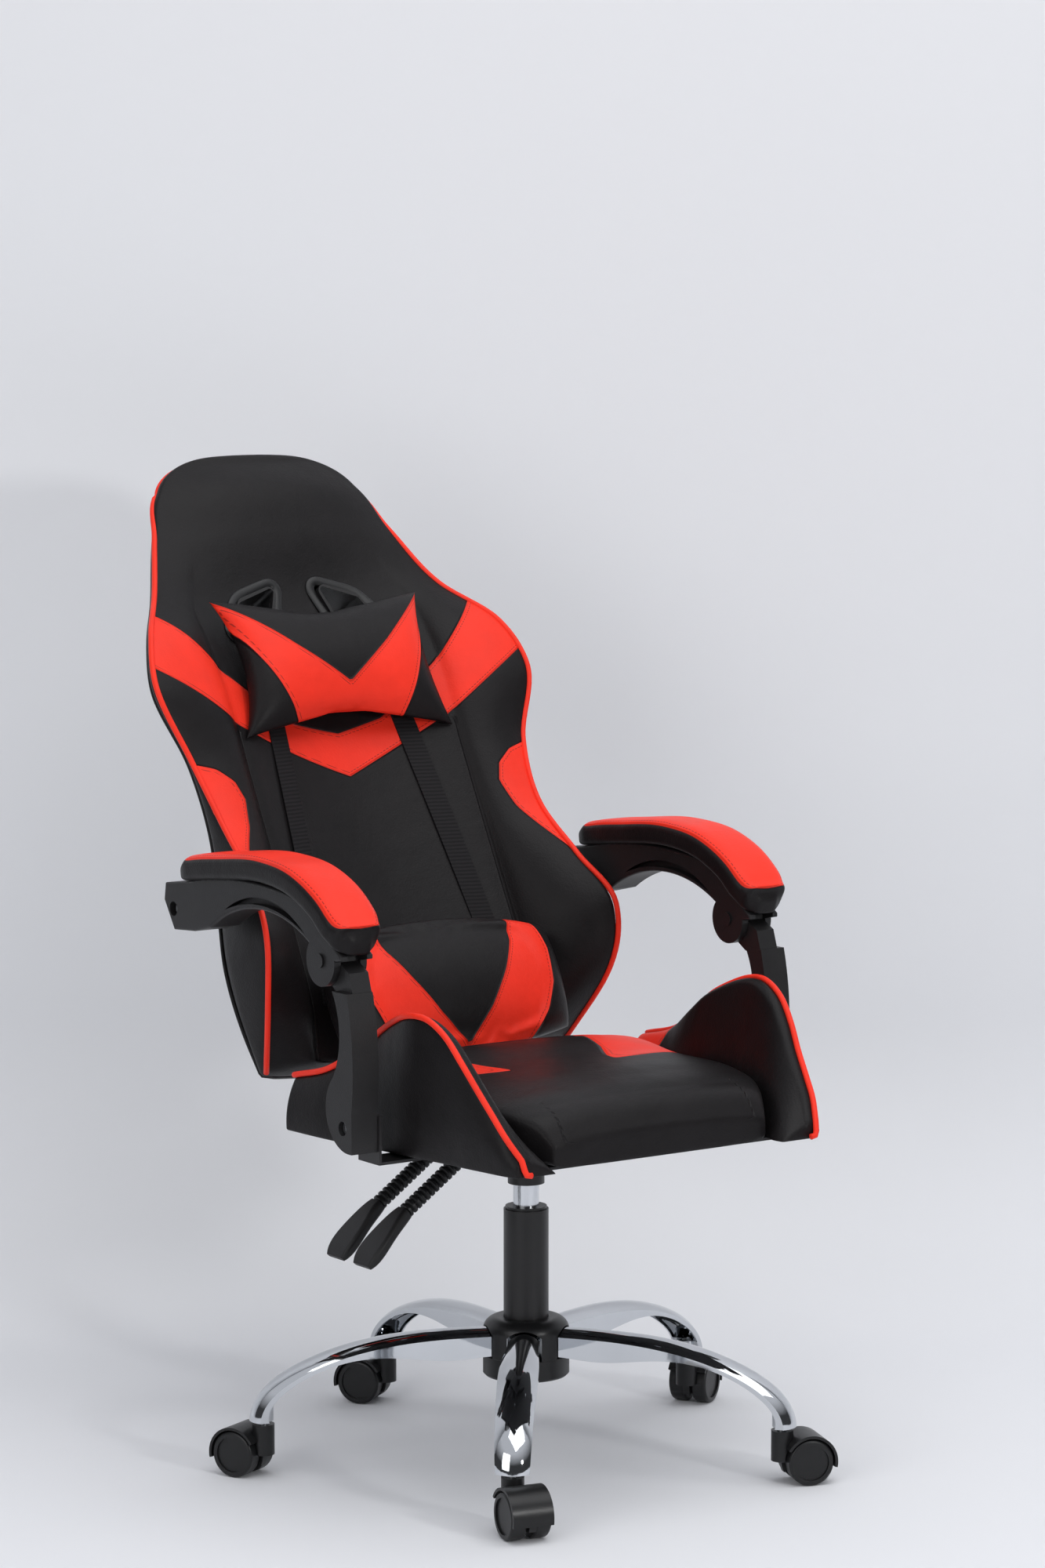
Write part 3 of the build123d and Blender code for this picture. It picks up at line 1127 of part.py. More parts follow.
nodes["back_wing_left"] = [pad & wing_block]
nodes["back_wing_right"] = [pad & mirrored(wing_block)]
nodes["back_head"] = [pad & back_block(-FAR, FAR, BACK_HEAD_S + split, FAR, -FAR, FAR)]
nodes["back_shell"] = [shell]
moulding = hole_prism(-SEATED_GAP, SHELL_REAR_N, surface_n(BACK_SEAM_X / 2, GROMMET_TOP_S) + GROMMET_PROUD)
moulding -= hole_prism(-GROMMET_WALL, -FAR, FAR)
nodes["strap_mouldings"] = both_sides(moulding)
nodes["back_bar"] = [back_bar()]
nodes["back_fasteners"] = [*back_bolts(), *both_sides(arm_bolt())]
nodes["pillow_straps"] = both_sides(strap() - Pos(*(FORWARD * SEATED_GAP)) * pad)
nodes["head_pillow"] = [head_pillow()]
nodes["lumbar_pillow"] = [lumbar_pillow()]

# Armrests
for name, hand in (("left", lambda shape: shape), ("right", mirrored)):
    nodes[f"post_{name}"] = [hand(post())]
    nodes[f"arm_frame_{name}"] = [hand(arm_frame())]
    nodes[f"arm_pad_{name}"] = [hand(arm_pad())]
    nodes[f"arm_pin_{name}"] = [hand(arm_pin())]
nodes["post_brackets"] = both_sides(post_bracket())

os.makedirs("parts", exist_ok=True)
for name, solids in nodes.items():
    whole = solids[0] if len(solids) == 1 else Compound(children=solids)
    export_step(whole, f"parts/{name}.step")
print(len(nodes), "nodes")
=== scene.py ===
# %% [markdown]
# # A reclining gaming chair
#
# The hard parts of this chair come from its CAD model: base, casters, gas lift, levers and arm frames.
# This notebook dresses it. Every cushion and pillow is worked out here as a surface on a grid, the seams are
# painted as distances on the mesh, and each material is built from nodes. The chair's sizes are written in
# millimetres, and every mesh is made in metres.

import bmesh
import bpy
import numpy as np
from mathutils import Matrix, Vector


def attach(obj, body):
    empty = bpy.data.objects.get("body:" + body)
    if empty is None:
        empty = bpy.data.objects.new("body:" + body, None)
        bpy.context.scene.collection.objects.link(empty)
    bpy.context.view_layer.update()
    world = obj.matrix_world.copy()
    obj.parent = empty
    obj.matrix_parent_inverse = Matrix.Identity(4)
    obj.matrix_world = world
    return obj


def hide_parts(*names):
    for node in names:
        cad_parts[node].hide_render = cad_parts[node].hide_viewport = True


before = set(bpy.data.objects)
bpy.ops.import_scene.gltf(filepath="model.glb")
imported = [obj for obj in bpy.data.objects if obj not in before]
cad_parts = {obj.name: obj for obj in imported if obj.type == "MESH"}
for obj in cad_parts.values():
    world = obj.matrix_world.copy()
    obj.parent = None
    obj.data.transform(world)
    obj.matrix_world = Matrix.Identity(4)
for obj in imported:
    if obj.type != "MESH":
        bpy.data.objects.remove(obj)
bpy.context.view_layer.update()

mm = 0.001

# %% [markdown]
# ## Tools for surfaces
#
# A padded panel is a rectangle of points bent into shape, so one function turns a grid of points into a mesh.
# The cross-sections change along a cushion, so another draws a smooth curve through a few measured stations.

# %% Grids into meshes
def grid_faces(rows, columns, wrap=True):
    """Corners of each cell of a grid. Wrapping joins the last column to the first."""
    row = np.arange(rows - 1)[:, None] * columns
    left = np.arange(columns if wrap else columns - 1)[None, :]
    right = (left + 1) % columns
    return np.stack([row + left, row + right, row + right + columns, row + left + columns], -1).reshape(-1, 4)


def make_mesh(name, points, faces, marks=None):
    """A smooth mesh from points and four-cornered faces, with doubles merged and faces turned outwards.
    Marks are numbers for each point, kept under their names."""
    mesh = bpy.data.meshes.new(name)
    mesh.vertices.add(len(points))
    mesh.vertices.foreach_set("co", np.asarray(points, np.float32).ravel())
    mesh.loops.add(faces.size)
    mesh.loops.foreach_set("vertex_index", np.asarray(faces, np.int32).ravel())
    mesh.polygons.add(len(faces))
    mesh.polygons.foreach_set("loop_start", np.arange(len(faces), dtype=np.int32) * 4)
    mesh.update(calc_edges=True)
    for mark, values in (marks or {}).items():
        layer = mesh.attributes.new(mark, "FLOAT", "POINT")
        layer.data.foreach_set("value", np.asarray(values, np.float32).ravel())
    work = bmesh.new()
    work.from_mesh(mesh)
    bmesh.ops.remove_doubles(work, verts=work.verts, dist=1e-6)
    bmesh.ops.recalc_face_normals(work, faces=work.faces)
    work.to_mesh(mesh)
    work.free()
    mesh.shade_smooth()
    made = bpy.data.objects.new(name, mesh)
    bpy.context.scene.collection.objects.link(made)
    return made


def capped(loops):
    """Rows of closed loops with each end drawn together to its middle."""
    first = loops[:1].mean(1, keepdims=True)
    last = loops[-1:].mean(1, keepdims=True)
    ends = [first + (loops[:1] - first) * k for k in (0.0, 0.5)]
    tails = [last + (loops[-1:] - last) * k for k in (0.5, 0.0)]
    return np.concatenate(ends + [loops] + tails)


def closed_form(name, loops):
    """A closed mesh from rows of loops, given as an array of rows by columns by XYZ."""
    loops = capped(loops)
    rows, columns, _ = loops.shape
    return make_mesh(name, loops.reshape(-1, 3), grid_faces(rows, columns))


def curve(knots, values, at):
    """Smooth values between stations: on each stretch a cubic whose slopes come from the neighbours."""
    knots = np.asarray(knots, float)
    values = np.asarray(values, float)
    slopes = np.gradient(values, knots, axis=0)
    at = np.asarray(at, float)
    left = np.clip(np.searchsorted(knots, at) - 1, 0, len(knots) - 2)
    gap = (knots[left + 1] - knots[left])[:, None]
    t = (at - knots[left])[:, None] / gap
    start, end = values[left], values[left + 1]
    start_slope, end_slope = slopes[left] * gap, slopes[left + 1] * gap
    return ((2 * t**3 - 3 * t**2 + 1) * start + (t**3 - 2 * t**2 + t) * start_slope
            + (3 * t**2 - 2 * t**3) * end + (t**3 - t**2) * end_slope)


def bow(start, middle, end, count, last=False):
    """A parabola through three points, as count steps: start(1-t)(1-2t) + middle 4t(1-t) + end t(2t-1)."""
    t = np.linspace(0, 1, count, endpoint=last)[None, :, None]
    start, middle, end = (np.stack(np.broadcast_arrays(*p), -1)[:, None, :] for p in (start, middle, end))
    return start * (1 - t) * (1 - 2 * t) + middle * 4 * t * (1 - t) + end * t * (2 * t - 1)


def tube(name, path, radius, side, sides=14):
    """A round cord along a path: each ring lies in the plane of a side vector and its normal to the path."""
    path = np.asarray(path, float)
    along = np.gradient(path, axis=0)
    along /= np.linalg.norm(along, axis=1, keepdims=True)
    across = np.cross(along, np.broadcast_to(side, path.shape))
    across /= np.linalg.norm(across, axis=1, keepdims=True)
    other = np.cross(across, along)
    turn = np.linspace(0, 2 * np.pi, sides, endpoint=False)[None, :, None]
    loops = path[:, None] + radius * (np.cos(turn) * across[:, None] + np.sin(turn) * other[:, None])
    return closed_form(name, loops)


print("surface tools ready")

# %% [markdown]
# ## Seams as distances
#
# The red and black panels are cut from flat sheets and sewn, so a colour edge is also a seam. Each vertex
# stores its signed distance to the nearest colour edge, plus inside the red panel. A material then finds the
# edge, the fold beside it and the row of stitches at any zoom, with no texture image. Where nothing is red,
# the plain distance of -20 mm is stored.

# %% Signed distances
PLAIN = -20.0
NO_SEAM = -99.0
BLACK_SEAM = 0.31


def inside_distance(points, corners):
    """Signed distance of (n, 2) points to a polygon, plus inside: the least distance to its sides, with the
    sign from counting how many sides lie to the right of the point."""
    corners = np.asarray(corners, float)
    following = np.roll(corners, -1, 0)
    side = following - corners
    to_point = points[:, None] - corners[None]
    share = np.clip((to_point * side).sum(-1) / (side * side).sum(-1), 0, 1)
    least = np.linalg.norm(to_point - share[..., None] * side, axis=-1).min(1)
    above = (corners[:, 1] > points[:, None, 1]) != (following[:, 1] > points[:, None, 1])
    rise = np.where(np.abs(side[:, 1]) < 1e-9, 1e-9, side[:, 1])
    reach = corners[:, 0] + (points[:, None, 1] - corners[:, 1]) / rise * side[:, 0]
    odd = (above & (points[:, None, 0] < reach)).sum(1) % 2 == 1
    return np.where(odd, least, -least)


def black_seam(distance, where):
    """A seam between two black panels: minus its distance, kept 0.31 mm or more on the black side."""
    return np.where(where, -np.maximum(np.abs(distance), BLACK_SEAM), NO_SEAM)


def vertex_points(made):
    """The places of a mesh's vertices, one row of XYZ for each."""
    points = np.empty(len(made.data.vertices) * 3, np.float32)
    made.data.vertices.foreach_get("co", points)
    return points.reshape(-1, 3).astype(float)


def store(made, name, values):
    """Keeps one number per vertex on the mesh for the materials to read."""
    layer = made.data.attributes.new(name, "FLOAT", "POINT")
    layer.data.foreach_set("value", np.asarray(values, np.float32))


def soften(made, levels=1):
    """Rounds a mesh with subdivision: each new point is a weighted mean of the old ones around it."""
    smooth = made.modifiers.new("Subdivision", "SUBSURF")
    smooth.levels = levels
    smooth.render_levels = levels


print("seam tools ready")

# %% [markdown]
# ## Materials
#
# Each finish starts from what the real one is. Colours are the hex values that the eye would name, turned to
# the linear numbers that a shader works in. Pattern scales come from real sizes in millimetres.

# %% Colour and node helpers
def linear(hex_color):
    """sRGB hex to linear RGBA: c/12.92 for dark values, ((c + 0.055)/1.055)^2.4 for the rest."""
    c = np.array([int(hex_color[i:i + 2], 16) / 255 for i in (1, 3, 5)])
    c = np.where(c <= 0.04045, c / 12.92, ((c + 0.055) / 1.055) ** 2.4)
    return (*c.tolist(), 1.0)


def add(tree, kind, inputs=None, **settings):
    """Adds one node. Settings are its own properties. Inputs are numbers or the sockets that feed them."""
    made = tree.nodes.new("ShaderNode" + kind)
    for name, value in settings.items():
        setattr(made, name, value)
    for name, value in (inputs or {}).items():
        if isinstance(value, bpy.types.NodeSocket):
            tree.links.new(value, made.inputs[name])
        else:
            made.inputs[name].default_value = value
    return made


def mix(tree, share, first, second):
    """Blends two colours. The colour sockets of a Mix node are its inputs 6 and 7 and its output 2."""
    return add(tree, "Mix", {"Factor": share, 6: first, 7: second}, data_type="RGBA").outputs[2]


def shade(colour, share):
    """A linear colour times a share, with each part kept to 1 at most."""
    return (*(min(c * share, 1.0) for c in colour[:3]), 1.0)


def new_material(name):
    """A material with its node tree, its main shader and the Object coordinates that patterns read."""
    material = bpy.data.materials.new(name)
    material.use_nodes = True
    tree = material.node_tree
    shader = tree.nodes["Principled BSDF"]
    place = add(tree, "TexCoord").outputs["Object"]
    return material, tree, shader, place


def per_metre(size_mm):
    """The scale of a pattern whose cells are this many millimetres wide."""
    return 1000 / size_mm


print("node helpers ready")

# %% [markdown]
# ### Coated leather
#
# The upholstery is PU: a cloth coated with polyurethane and pressed with a fine leather grain. Its sheen is
# satin, so highlights are broad. The real grain is about 1 mm and would vanish at the picture's size, so it
# is drawn at 2.2 mm. Seams fold inwards, and a row of stitches runs beside them.

# %% Leather in two colours
BLACK = "#141213"
RED = "#ee3422"
THREAD = "#1a1718"
CLOUD_MM = 45
CRUMPLE_MM = 28
GRAIN_MM = 2.2
EDGE_BLUR = 0.3 * mm
FOLD_REACH = 2.2 * mm
STITCH_OFFSET = 4.0 * mm
STITCH_HALF = 0.5 * mm
STITCH_PITCH = 5.0 * mm
STITCH_LENGTH = 3.2 * mm


def leather(name, all_red=False):
    """Red where the panel distance is above nought and black below. The bump sinks with nearness to the edge,
    and a stitch is where the distance is near its row and the run, modulo the pitch, is under its length."""
    material, tree, shader, place = new_material(name)
    edge = add(tree, "Attribute", attribute_name="panel").outputs["Fac"]
    run = add(tree, "Attribute", attribute_name="run").outputs["Fac"]
    clouds = add(tree, "TexNoise", {"Vector": place, "Scale": per_metre(CLOUD_MM), "Detail": 4.0})
    cloud = clouds.outputs["Fac"]
    worn = add(tree, "MapRange", {"Value": cloud, "From Min": 0.3, "From Max": 0.7})
    tones = []
    for tone, share in ((BLACK, 1.35), (RED, 1.12)):
        base = linear(tone)
        tones.append(mix(tree, worn.outputs["Result"], base, shade(base, share)))
    if all_red:
        colour = tones[1]
    else:
        inside = add(tree, "MapRange", {"Value": edge, "From Min": -EDGE_BLUR, "From Max": EDGE_BLUR})
        colour = mix(tree, inside.outputs["Result"], tones[0], tones[1])
    grain = add(tree, "TexVoronoi", {"Vector": place, "Scale": per_metre(GRAIN_MM)}, feature="F1")
    crumple = add(tree, "TexNoise", {"Vector": place, "Scale": per_metre(CRUMPLE_MM), "Detail": 3.0})
    away = add(tree, "Math", {0: edge}, operation="ABSOLUTE").outputs[0]
    fold = add(tree, "MapRange", {"Value": away, "From Max": FOLD_REACH}, interpolation_type="SMOOTHSTEP")
    near_row = add(tree, "Math", {0: away, 1: STITCH_OFFSET}, operation="SUBTRACT").outputs[0]
    row = add(tree, "Math", {0: near_row, 1: 0.0, 2: STITCH_HALF}, operation="COMPARE").outputs[0]
    turn = add(tree, "Math", {0: run, 1: STITCH_PITCH}, operation="FLOORED_MODULO").outputs[0]
    dash = add(tree, "Math", {0: turn, 1: STITCH_LENGTH}, operation="LESS_THAN").outputs[0]
    stitch = add(tree, "Math", {0: row, 1: dash}, operation="MULTIPLY").outputs[0]
    thread = mix(tree, 0.55, colour, linear(THREAD))
    sewn = mix(tree, stitch, colour, thread)
    tree.links.new(sewn, shader.inputs["Base Color"])
    rough = add(tree, "MapRange", {"Value": cloud, "To Min": 0.36, "To Max": 0.52}).outputs["Result"]
    tree.links.new(rough, shader.inputs["Roughness"])
    shader.inputs["IOR"].default_value = 1.5
    shader.inputs["Specular IOR Level"].default_value = 0.17
    fine = add(tree, "Bump", {"Height": grain.outputs["Distance"], "Distance": 0.25 * mm, "Strength": 0.5})
    soft = add(tree, "Bump", {"Height": crumple.outputs["Fac"], "Distance": 2.0 * mm, "Strength": 0.35,
                              "Normal": fine.outputs["Normal"]})
    sunk = add(tree, "Bump", {"Height": fold.outputs["Result"], "Distance": 1.6 * mm, "Strength": 0.8,
                              "Normal": soft.outputs["Normal"]})
    tree.links.new(sunk.outputs["Normal"], shader.inputs["Normal"])
    return material


upholstery = leather("PU leather, red and black")
piping_leather = leather("PU leather piping, red", all_red=True)
print("made", upholstery.name, "and", piping_leather.name)

# %% [markdown]
# ### Plastics, rubber and metals
#
# The arm frames are polypropylene with a spark-eroded texture of about 1 mm, drawn at 1.6 mm so that it
# shows. The casters and hub are nylon with a smoother one. The legs are chromium plate on pressed steel: a
# mirror, softened a little by its handling. The gas tube and the seat mechanism have a powder coat, whose
# orange peel is about 3 mm wide.

# %% Moulded plastic
def moulded(name, colour, texture_mm, depth_mm, rough):
    """A cloudy dark colour with an uneven gloss, and noise of the texture's width as a bump of its depth."""
    material, tree, shader, place = new_material(name)
    cloud = add(tree, "TexNoise", {"Vector": place, "Scale": per_metre(30), "Detail": 3.0}).outputs["Fac"]
    base = linear(colour)
    tree.links.new(mix(tree, cloud, base, shade(base, 1.5)), shader.inputs["Base Color"])
    texture = add(tree, "TexNoise", {"Vector": place, "Scale": per_metre(texture_mm), "Detail": 2.0})
    varied = add(tree, "MapRange", {"Value": cloud, "To Min": rough - 0.06, "To Max": rough + 0.08})
    tree.links.new(varied.outputs["Result"], shader.inputs["Roughness"])
    shader.inputs["Specular IOR Level"].default_value = 0.35
    rise = add(tree, "Bump", {"Height": texture.outputs["Fac"], "Distance": depth_mm * mm, "Strength": 0.6})
    tree.links.new(rise.outputs["Normal"], shader.inputs["Normal"])
    return material


arm_plastic = moulded("Polypropylene, spark textured", "#171617", 1.6, 0.3, 0.46)
nylon = moulded("Nylon, moulded", "#151516", 2.4, 0.12, 0.34)
sleeve_rubber = moulded("Rubber sleeve", "#121213", 3.0, 0.1, 0.38)
print("made", arm_plastic.name, nylon.name, sleeve_rubber.name, sep=", ")

# %% Metals
def metal(name, colour, rough, brushed_mm, depth_mm):
    """Noise stretched 20 times along Z, as brush marks that vary the gloss, the colour and the bump."""
    material, tree, shader, place = new_material(name)
    stretch = add(tree, "Mapping", {"Vector": place, "Scale": (1.0, 1.0, 0.05)}).outputs["Vector"]
    brush = add(tree, "TexNoise", {"Vector": stretch, "Scale": per_metre(brushed_mm), "Detail": 3.0})
    marks = brush.outputs["Fac"]
    varied = add(tree, "MapRange", {"Value": marks, "To Min": rough * 0.7, "To Max": rough * 1.3})
    tree.links.new(varied.outputs["Result"], shader.inputs["Roughness"])
    base = linear(colour)
    tree.links.new(mix(tree, marks, shade(base, 0.9), base), shader.inputs["Base Color"])
    shader.inputs["Metallic"].default_value = 1.0
    rise = add(tree, "Bump", {"Height": marks, "Distance": depth_mm * mm, "Strength": 0.3})
    tree.links.new(rise.outputs["Normal"], shader.inputs["Normal"])
    return material


chrome = metal("Chromium plate", "#cdd0d4", 0.06, 60.0, 0.02)
steel = metal("Zinc-plated steel", "#c3c6c9", 0.28, 3.0, 0.03)
ground_steel = metal("Ground steel cylinder", "#d2d5d9", 0.2, 2.5, 0.02)
powder_coat = moulded("Powder coat on steel", "#1c1b1c", 3.0, 0.08, 0.36)
print("made", chrome.name, steel.name, ground_steel.name, powder_coat.name, sep=", ")

# %% [markdown]
# ### Webbing
#
# The pillow straps are woven polyester tape. Its picks are under 1 mm, drawn here 4 mm apart so that they
# show. A wave texture of scale 1 repeats every 0.314 m, which gives the scale for 4 mm.

# %% Woven tape
WEAVE_SCALE = 500 / 6.28
webbing, tree, shader, place = new_material("Polyester webbing")
weave = add(tree, "TexWave", {"Vector": place, "Scale": WEAVE_SCALE, "Distortion": 0.6},
            bands_direction="Z").outputs["Fac"]
tree.links.new(mix(tree, weave, linear("#0f0e10"), linear("#1e1c1e")), shader.inputs["Base Color"])
shader.inputs["Roughness"].default_value = 0.72
shader.inputs["Specular IOR Level"].default_value = 0.2
pick = add(tree, "Bump", {"Height": weave, "Distance": 0.3 * mm, "Strength": 0.5})
tree.links.new(pick.outputs["Normal"], shader.inputs["Normal"])
print("made", webbing.name)

# %% [markdown]
# ## The backrest
#
# The backrest leans 28 degrees, so its points are written along its own slope: x to the side, s up the slope
# and n forward of it. Each station gives the half width, how far the piped edge stands forward, its rear, and
# the middle and seam of the front. The front is three bows, wing, middle and wing, that meet at two sewn
# seams.

# %% The slope and its stations
LEAN = np.radians(28.0)
BACK_FOOT = np.array([0.0, 211.0, 411.0])
UP_SLOPE = np.array([0.0, np.sin(LEAN), np.cos(LEAN)])
FORWARD = np.array([0.0, -np.cos(LEAN), np.sin(LEAN)])
BACK_LEN = 740.0
SEAM_X = 146.0
SEAM_SHARE = 0.72
WING_BULGE = 9.0
REAR_DEPTH = 34.0
BACK_SHARES = [0.0, 0.068, 0.155, 0.257, 0.365, 0.473, 0.595, 0.676, 0.764, 0.874, 0.953, 1.0]
BACK_KNOTS = np.array(BACK_SHARES) * BACK_LEN
BACK_VALUES = np.array([
    # half width, edge, rear of the edge, middle, seam
    (198, 2, -12, 22, 24), (225, 83, 18, 28, 44), (231, 127, 25, 28, 49), (216, 103, 20, 26, 49),
    (210, 69, 34, 24, 49), (221, 59, 48, 22, 49), (248, 71, 57, 20, 49), (232, 62, 48, 16, 40),
    (191, 26, 12, 12, 22), (157, 7, -6, 20, 17), (132, 1, -10, 17, 12), (93, -3, -11, 3, 1),
])


def on_back(x, s, n):
    """World points in metres from places on the backrest's slope in millimetres."""
    x, s, n = np.broadcast_arrays(x, s, n)
    sideways = np.array([1.0, 0.0, 0.0])
    return (BACK_FOOT + x[..., None] * sideways + s[..., None] * UP_SLOPE + n[..., None] * FORWARD) * mm


def from_back(points):
    """The x, s and n in millimetres of world points in metres."""
    away = points / mm - BACK_FOOT
    return away[:, 0], away @ UP_SLOPE, away @ FORWARD


def back_section(s):
    """Half width, edge, edge's rear, middle, seam and seam's x at each s, as columns."""
    half, edge, rear, middle, seam = curve(BACK_KNOTS, BACK_VALUES, s).T
    return half, edge, rear, middle, seam, np.minimum(SEAM_X, SEAM_SHARE * half)


def rear_middle(s):
    """The rear's middle: 34 mm behind the slope, shrinking by 55 percent over the top 35 percent."""
    return -REAR_DEPTH * (1 - 0.55 * np.maximum(s / BACK_LEN - 0.65, 0) / 0.35)


print("backrest", BACK_LEN, "mm long,", 2 * BACK_VALUES[:, 0].max(), "mm wide")

# %% Padding over the whole front
COUNTS = (18, 30, 18, 6, 26, 6)
CROWN_FROM = 700.0
CROWN_RISE = 52.0
CROWN_HALF = 134.0
DOME_FROM = 480.0
DOME_OVER = 150.0
DOME_POWER = 2.4
SEAM_SINK = 3.0
SEAM_SPREAD = 5.0
SEAM_END = 540
SEAM_FADE = 60
SIDE_BULGE = 2.0


def crown(k):
    """The head's top for k from 0 to 1: s rises 52 mm as a sine, while the width closes as a cosine to the
    power 0.6. Gives s, half width and the share of the thickness that is left."""
    rise = CROWN_RISE * np.sin(k * np.pi / 2)
    left = np.maximum(np.cos(k * np.pi / 2), 0) ** 0.6
    return CROWN_FROM + rise, np.maximum((CROWN_HALF - 0.3 * rise) * left, 0.01), left


def domed(n, x, s, half, edge, middle):
    """Blends a front n into the head's dome, edge + (middle - edge)(1 - |x/half|^2.4). The share is the
    smooth step 3t^2 - 2t^3 of how far s has come through the blend."""
    dome = edge + (middle - edge) * (1 - np.abs(x / half) ** DOME_POWER)
    t = np.clip((s - DOME_FROM) / DOME_OVER, 0, 1)
    return n + (dome - n) * t * t * (3 - 2 * t)


def padding_loops():
    """Rows up the slope. Each loop is wing, middle, wing, side, rear and side. The sewn seams sink 3 mm in a
    bell curve, the head is one dome, and the last rows close over the top."""
    below = np.linspace(0, CROWN_FROM, 108)
    top_s, top_half, top_left = crown(np.linspace(0, 1, 15)[1:])
    s = np.concatenate([below, top_s])
    half, edge, rear, middle, seam, sx = back_section(np.minimum(s, BACK_LEN))
    half = np.concatenate([half[:len(below)], top_half])
    sx = np.minimum(sx, SEAM_SHARE * half)
    left = np.concatenate([np.ones(len(below)), top_left])[:, None]
    deep = rear_middle(np.minimum(s, BACK_LEN))
    wing_x = (half + sx) / 2 - 0.6 * WING_BULGE
    wing_n = (edge + seam) / 2 + 0.8 * WING_BULGE
    parts = [
        bow((half, edge), (wing_x, wing_n), (sx, seam), COUNTS[0]),
        bow((sx, seam), (0 * s, middle), (-sx, seam), COUNTS[1]),
        bow((-sx, seam), (-wing_x, wing_n), (-half, edge), COUNTS[2]),
        bow((-half, edge), (-half - SIDE_BULGE, (edge + rear) / 2), (-half, rear), COUNTS[3]),
        bow((-half, rear), (0 * s, deep), (half, rear), COUNTS[4]),
        bow((half, rear), (half + SIDE_BULGE, (edge + rear) / 2), (half, edge), COUNTS[5]),
    ]
    loop = np.concatenate(parts, 1)
    x, n = loop[..., 0], loop[..., 1]
    front = np.arange(loop.shape[1]) < sum(COUNTS[:3])
    sink = SEAM_SINK * np.exp(-(((np.abs(x) - sx[:, None]) / SEAM_SPREAD) ** 2))
    sink = sink * np.clip((SEAM_END - s) / SEAM_FADE, 0, 1)[:, None]
    n = n - np.where(front[None], sink, 0)
    dome = domed(n, x, s[:, None], half[:, None], edge[:, None], middle[:, None])
    n = np.where(front[None], dome, n)
    centre = (edge * 0.5 + rear * 0.5)[:, None]
    return x, np.broadcast_to(s[:, None], x.shape), centre + (n - centre) * left


x, s, n = padding_loops()
padding = closed_form("backrest_padding", on_back(x, s, n))
print("padding has", len(padding.data.vertices), "points")

# %% [markdown]
# The openings for the pillow's strap go right through. Points near an opening's outline are moved onto it,
# the faces inside are taken out, and the black moulding of the CAD model lines the edge.

# %% Strap openings
OPENING = np.array([(24.0, 578.0), (80.0, 560.0), (108.0, 512.0), (52.0, 494.0)])
OPENING_CORNER = 14.0
SNAP = 4.0


def rounded(corners, radius, steps=8):
    """A polygon with its corners cut back by a radius and bridged by parabolas."""
    before = np.roll(corners, 1, 0) - corners
    after = np.roll(corners, -1, 0) - corners
    start = corners + before / np.linalg.norm(before, axis=1, keepdims=True) * radius
    end = corners + after / np.linalg.norm(after, axis=1, keepdims=True) * radius
    t = np.linspace(0, 1, steps)[None, :, None]
    arcs = start[:, None] * (1 - t) ** 2 + corners[:, None] * 2 * t * (1 - t) + end[:, None] * t**2
    return arcs.reshape(-1, 2)


outline = rounded(OPENING, OPENING_CORNER)


def cut_openings(made):
    """Moves points within 4 mm of an outline onto it and deletes the faces inside."""
    points = vertex_points(made)
    px, ps, pn = from_back(points)
    flat = np.stack([np.abs(px), ps], 1)
    distance = inside_distance(flat, outline)
    step = 0.05
    slope_x = (inside_distance(flat + (step, 0), outline) - distance) / step
    slope_s = (inside_distance(flat + (0, step), outline) - distance) / step
    near = np.abs(distance) < SNAP
    flat = np.where(near[:, None], flat - distance[:, None] * np.stack([slope_x, slope_s], 1), flat)
    moved = on_back(np.sign(px) * flat[:, 0], flat[:, 1], pn)
    made.data.vertices.foreach_set("co", moved.astype(np.float32).ravel())
    gone = (distance > -SNAP) & (inside_distance(flat, outline) > -0.5)
    work = bmesh.new()
    work.from_mesh(made.data)
    inner = [face for face in work.faces if all(gone[v.index] for v in face.verts)]
    bmesh.ops.delete(work, geom=inner, context="FACES")
    work.to_mesh(made.data)
    work.free()
    return len(inner)


print("cut", cut_openings(padding), "faces out of the padding")

# %% Red panels on the backrest
BAND = [(-50, 333), (0, 333), (142, 394), (246, 460), (290, 486), (290, 612),
        (209, 530), (146, 462), (60, 400), (0, 386), (-50, 386)]
SEAM_TOP = 392


def side_patch():
    """A crescent along the piping: each point lies a width inside the edge, at a few heights."""
    heights = np.array([195.0, 230, 265, 300, 322, 338, 346])
    widths = np.array([0.0, 14, 31, 42, 38, 22, 0])
    half = back_section(heights)[0]
    inner = np.stack([half - widths, heights], 1)
    outer = np.stack([half + 30, heights], 1)[::-1]
    return np.concatenate([inner, outer])


px, ps, pn = from_back(vertex_points(padding))
half, edge, _, middle, seam, sx = back_section(np.clip(ps, 0, BACK_LEN))
aside = np.abs(px)
face = np.where(aside < sx, middle + (seam - middle) * (aside / sx) ** 2,
                seam + (edge - seam) * (aside - sx) / (half - sx))
behind = pn < face - 5.0
flat = np.stack([aside, ps], 1)
red = np.maximum(inside_distance(flat, BAND), inside_distance(flat, side_patch()))
red = np.where(red > 0, red, np.maximum(red, black_seam(aside - sx, ps < SEAM_TOP)))
store(padding, "panel", np.where(behind, PLAIN, red) * mm)
store(padding, "run", (ps + 0.7 * px) * mm)
padding.data.materials.append(upholstery)
soften(padding)
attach(padding, "backrest")
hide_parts("back_middle", "back_wing_left", "back_wing_right", "back_head")
print("red reaches", round(float(red.max()), 1), "mm from a seam")

# %% Rear cover
COVER_INSET = 4.0
COVER_GAP = 0.6
COVER_EDGE = 7.0
COVER_MIDDLE = 10.0


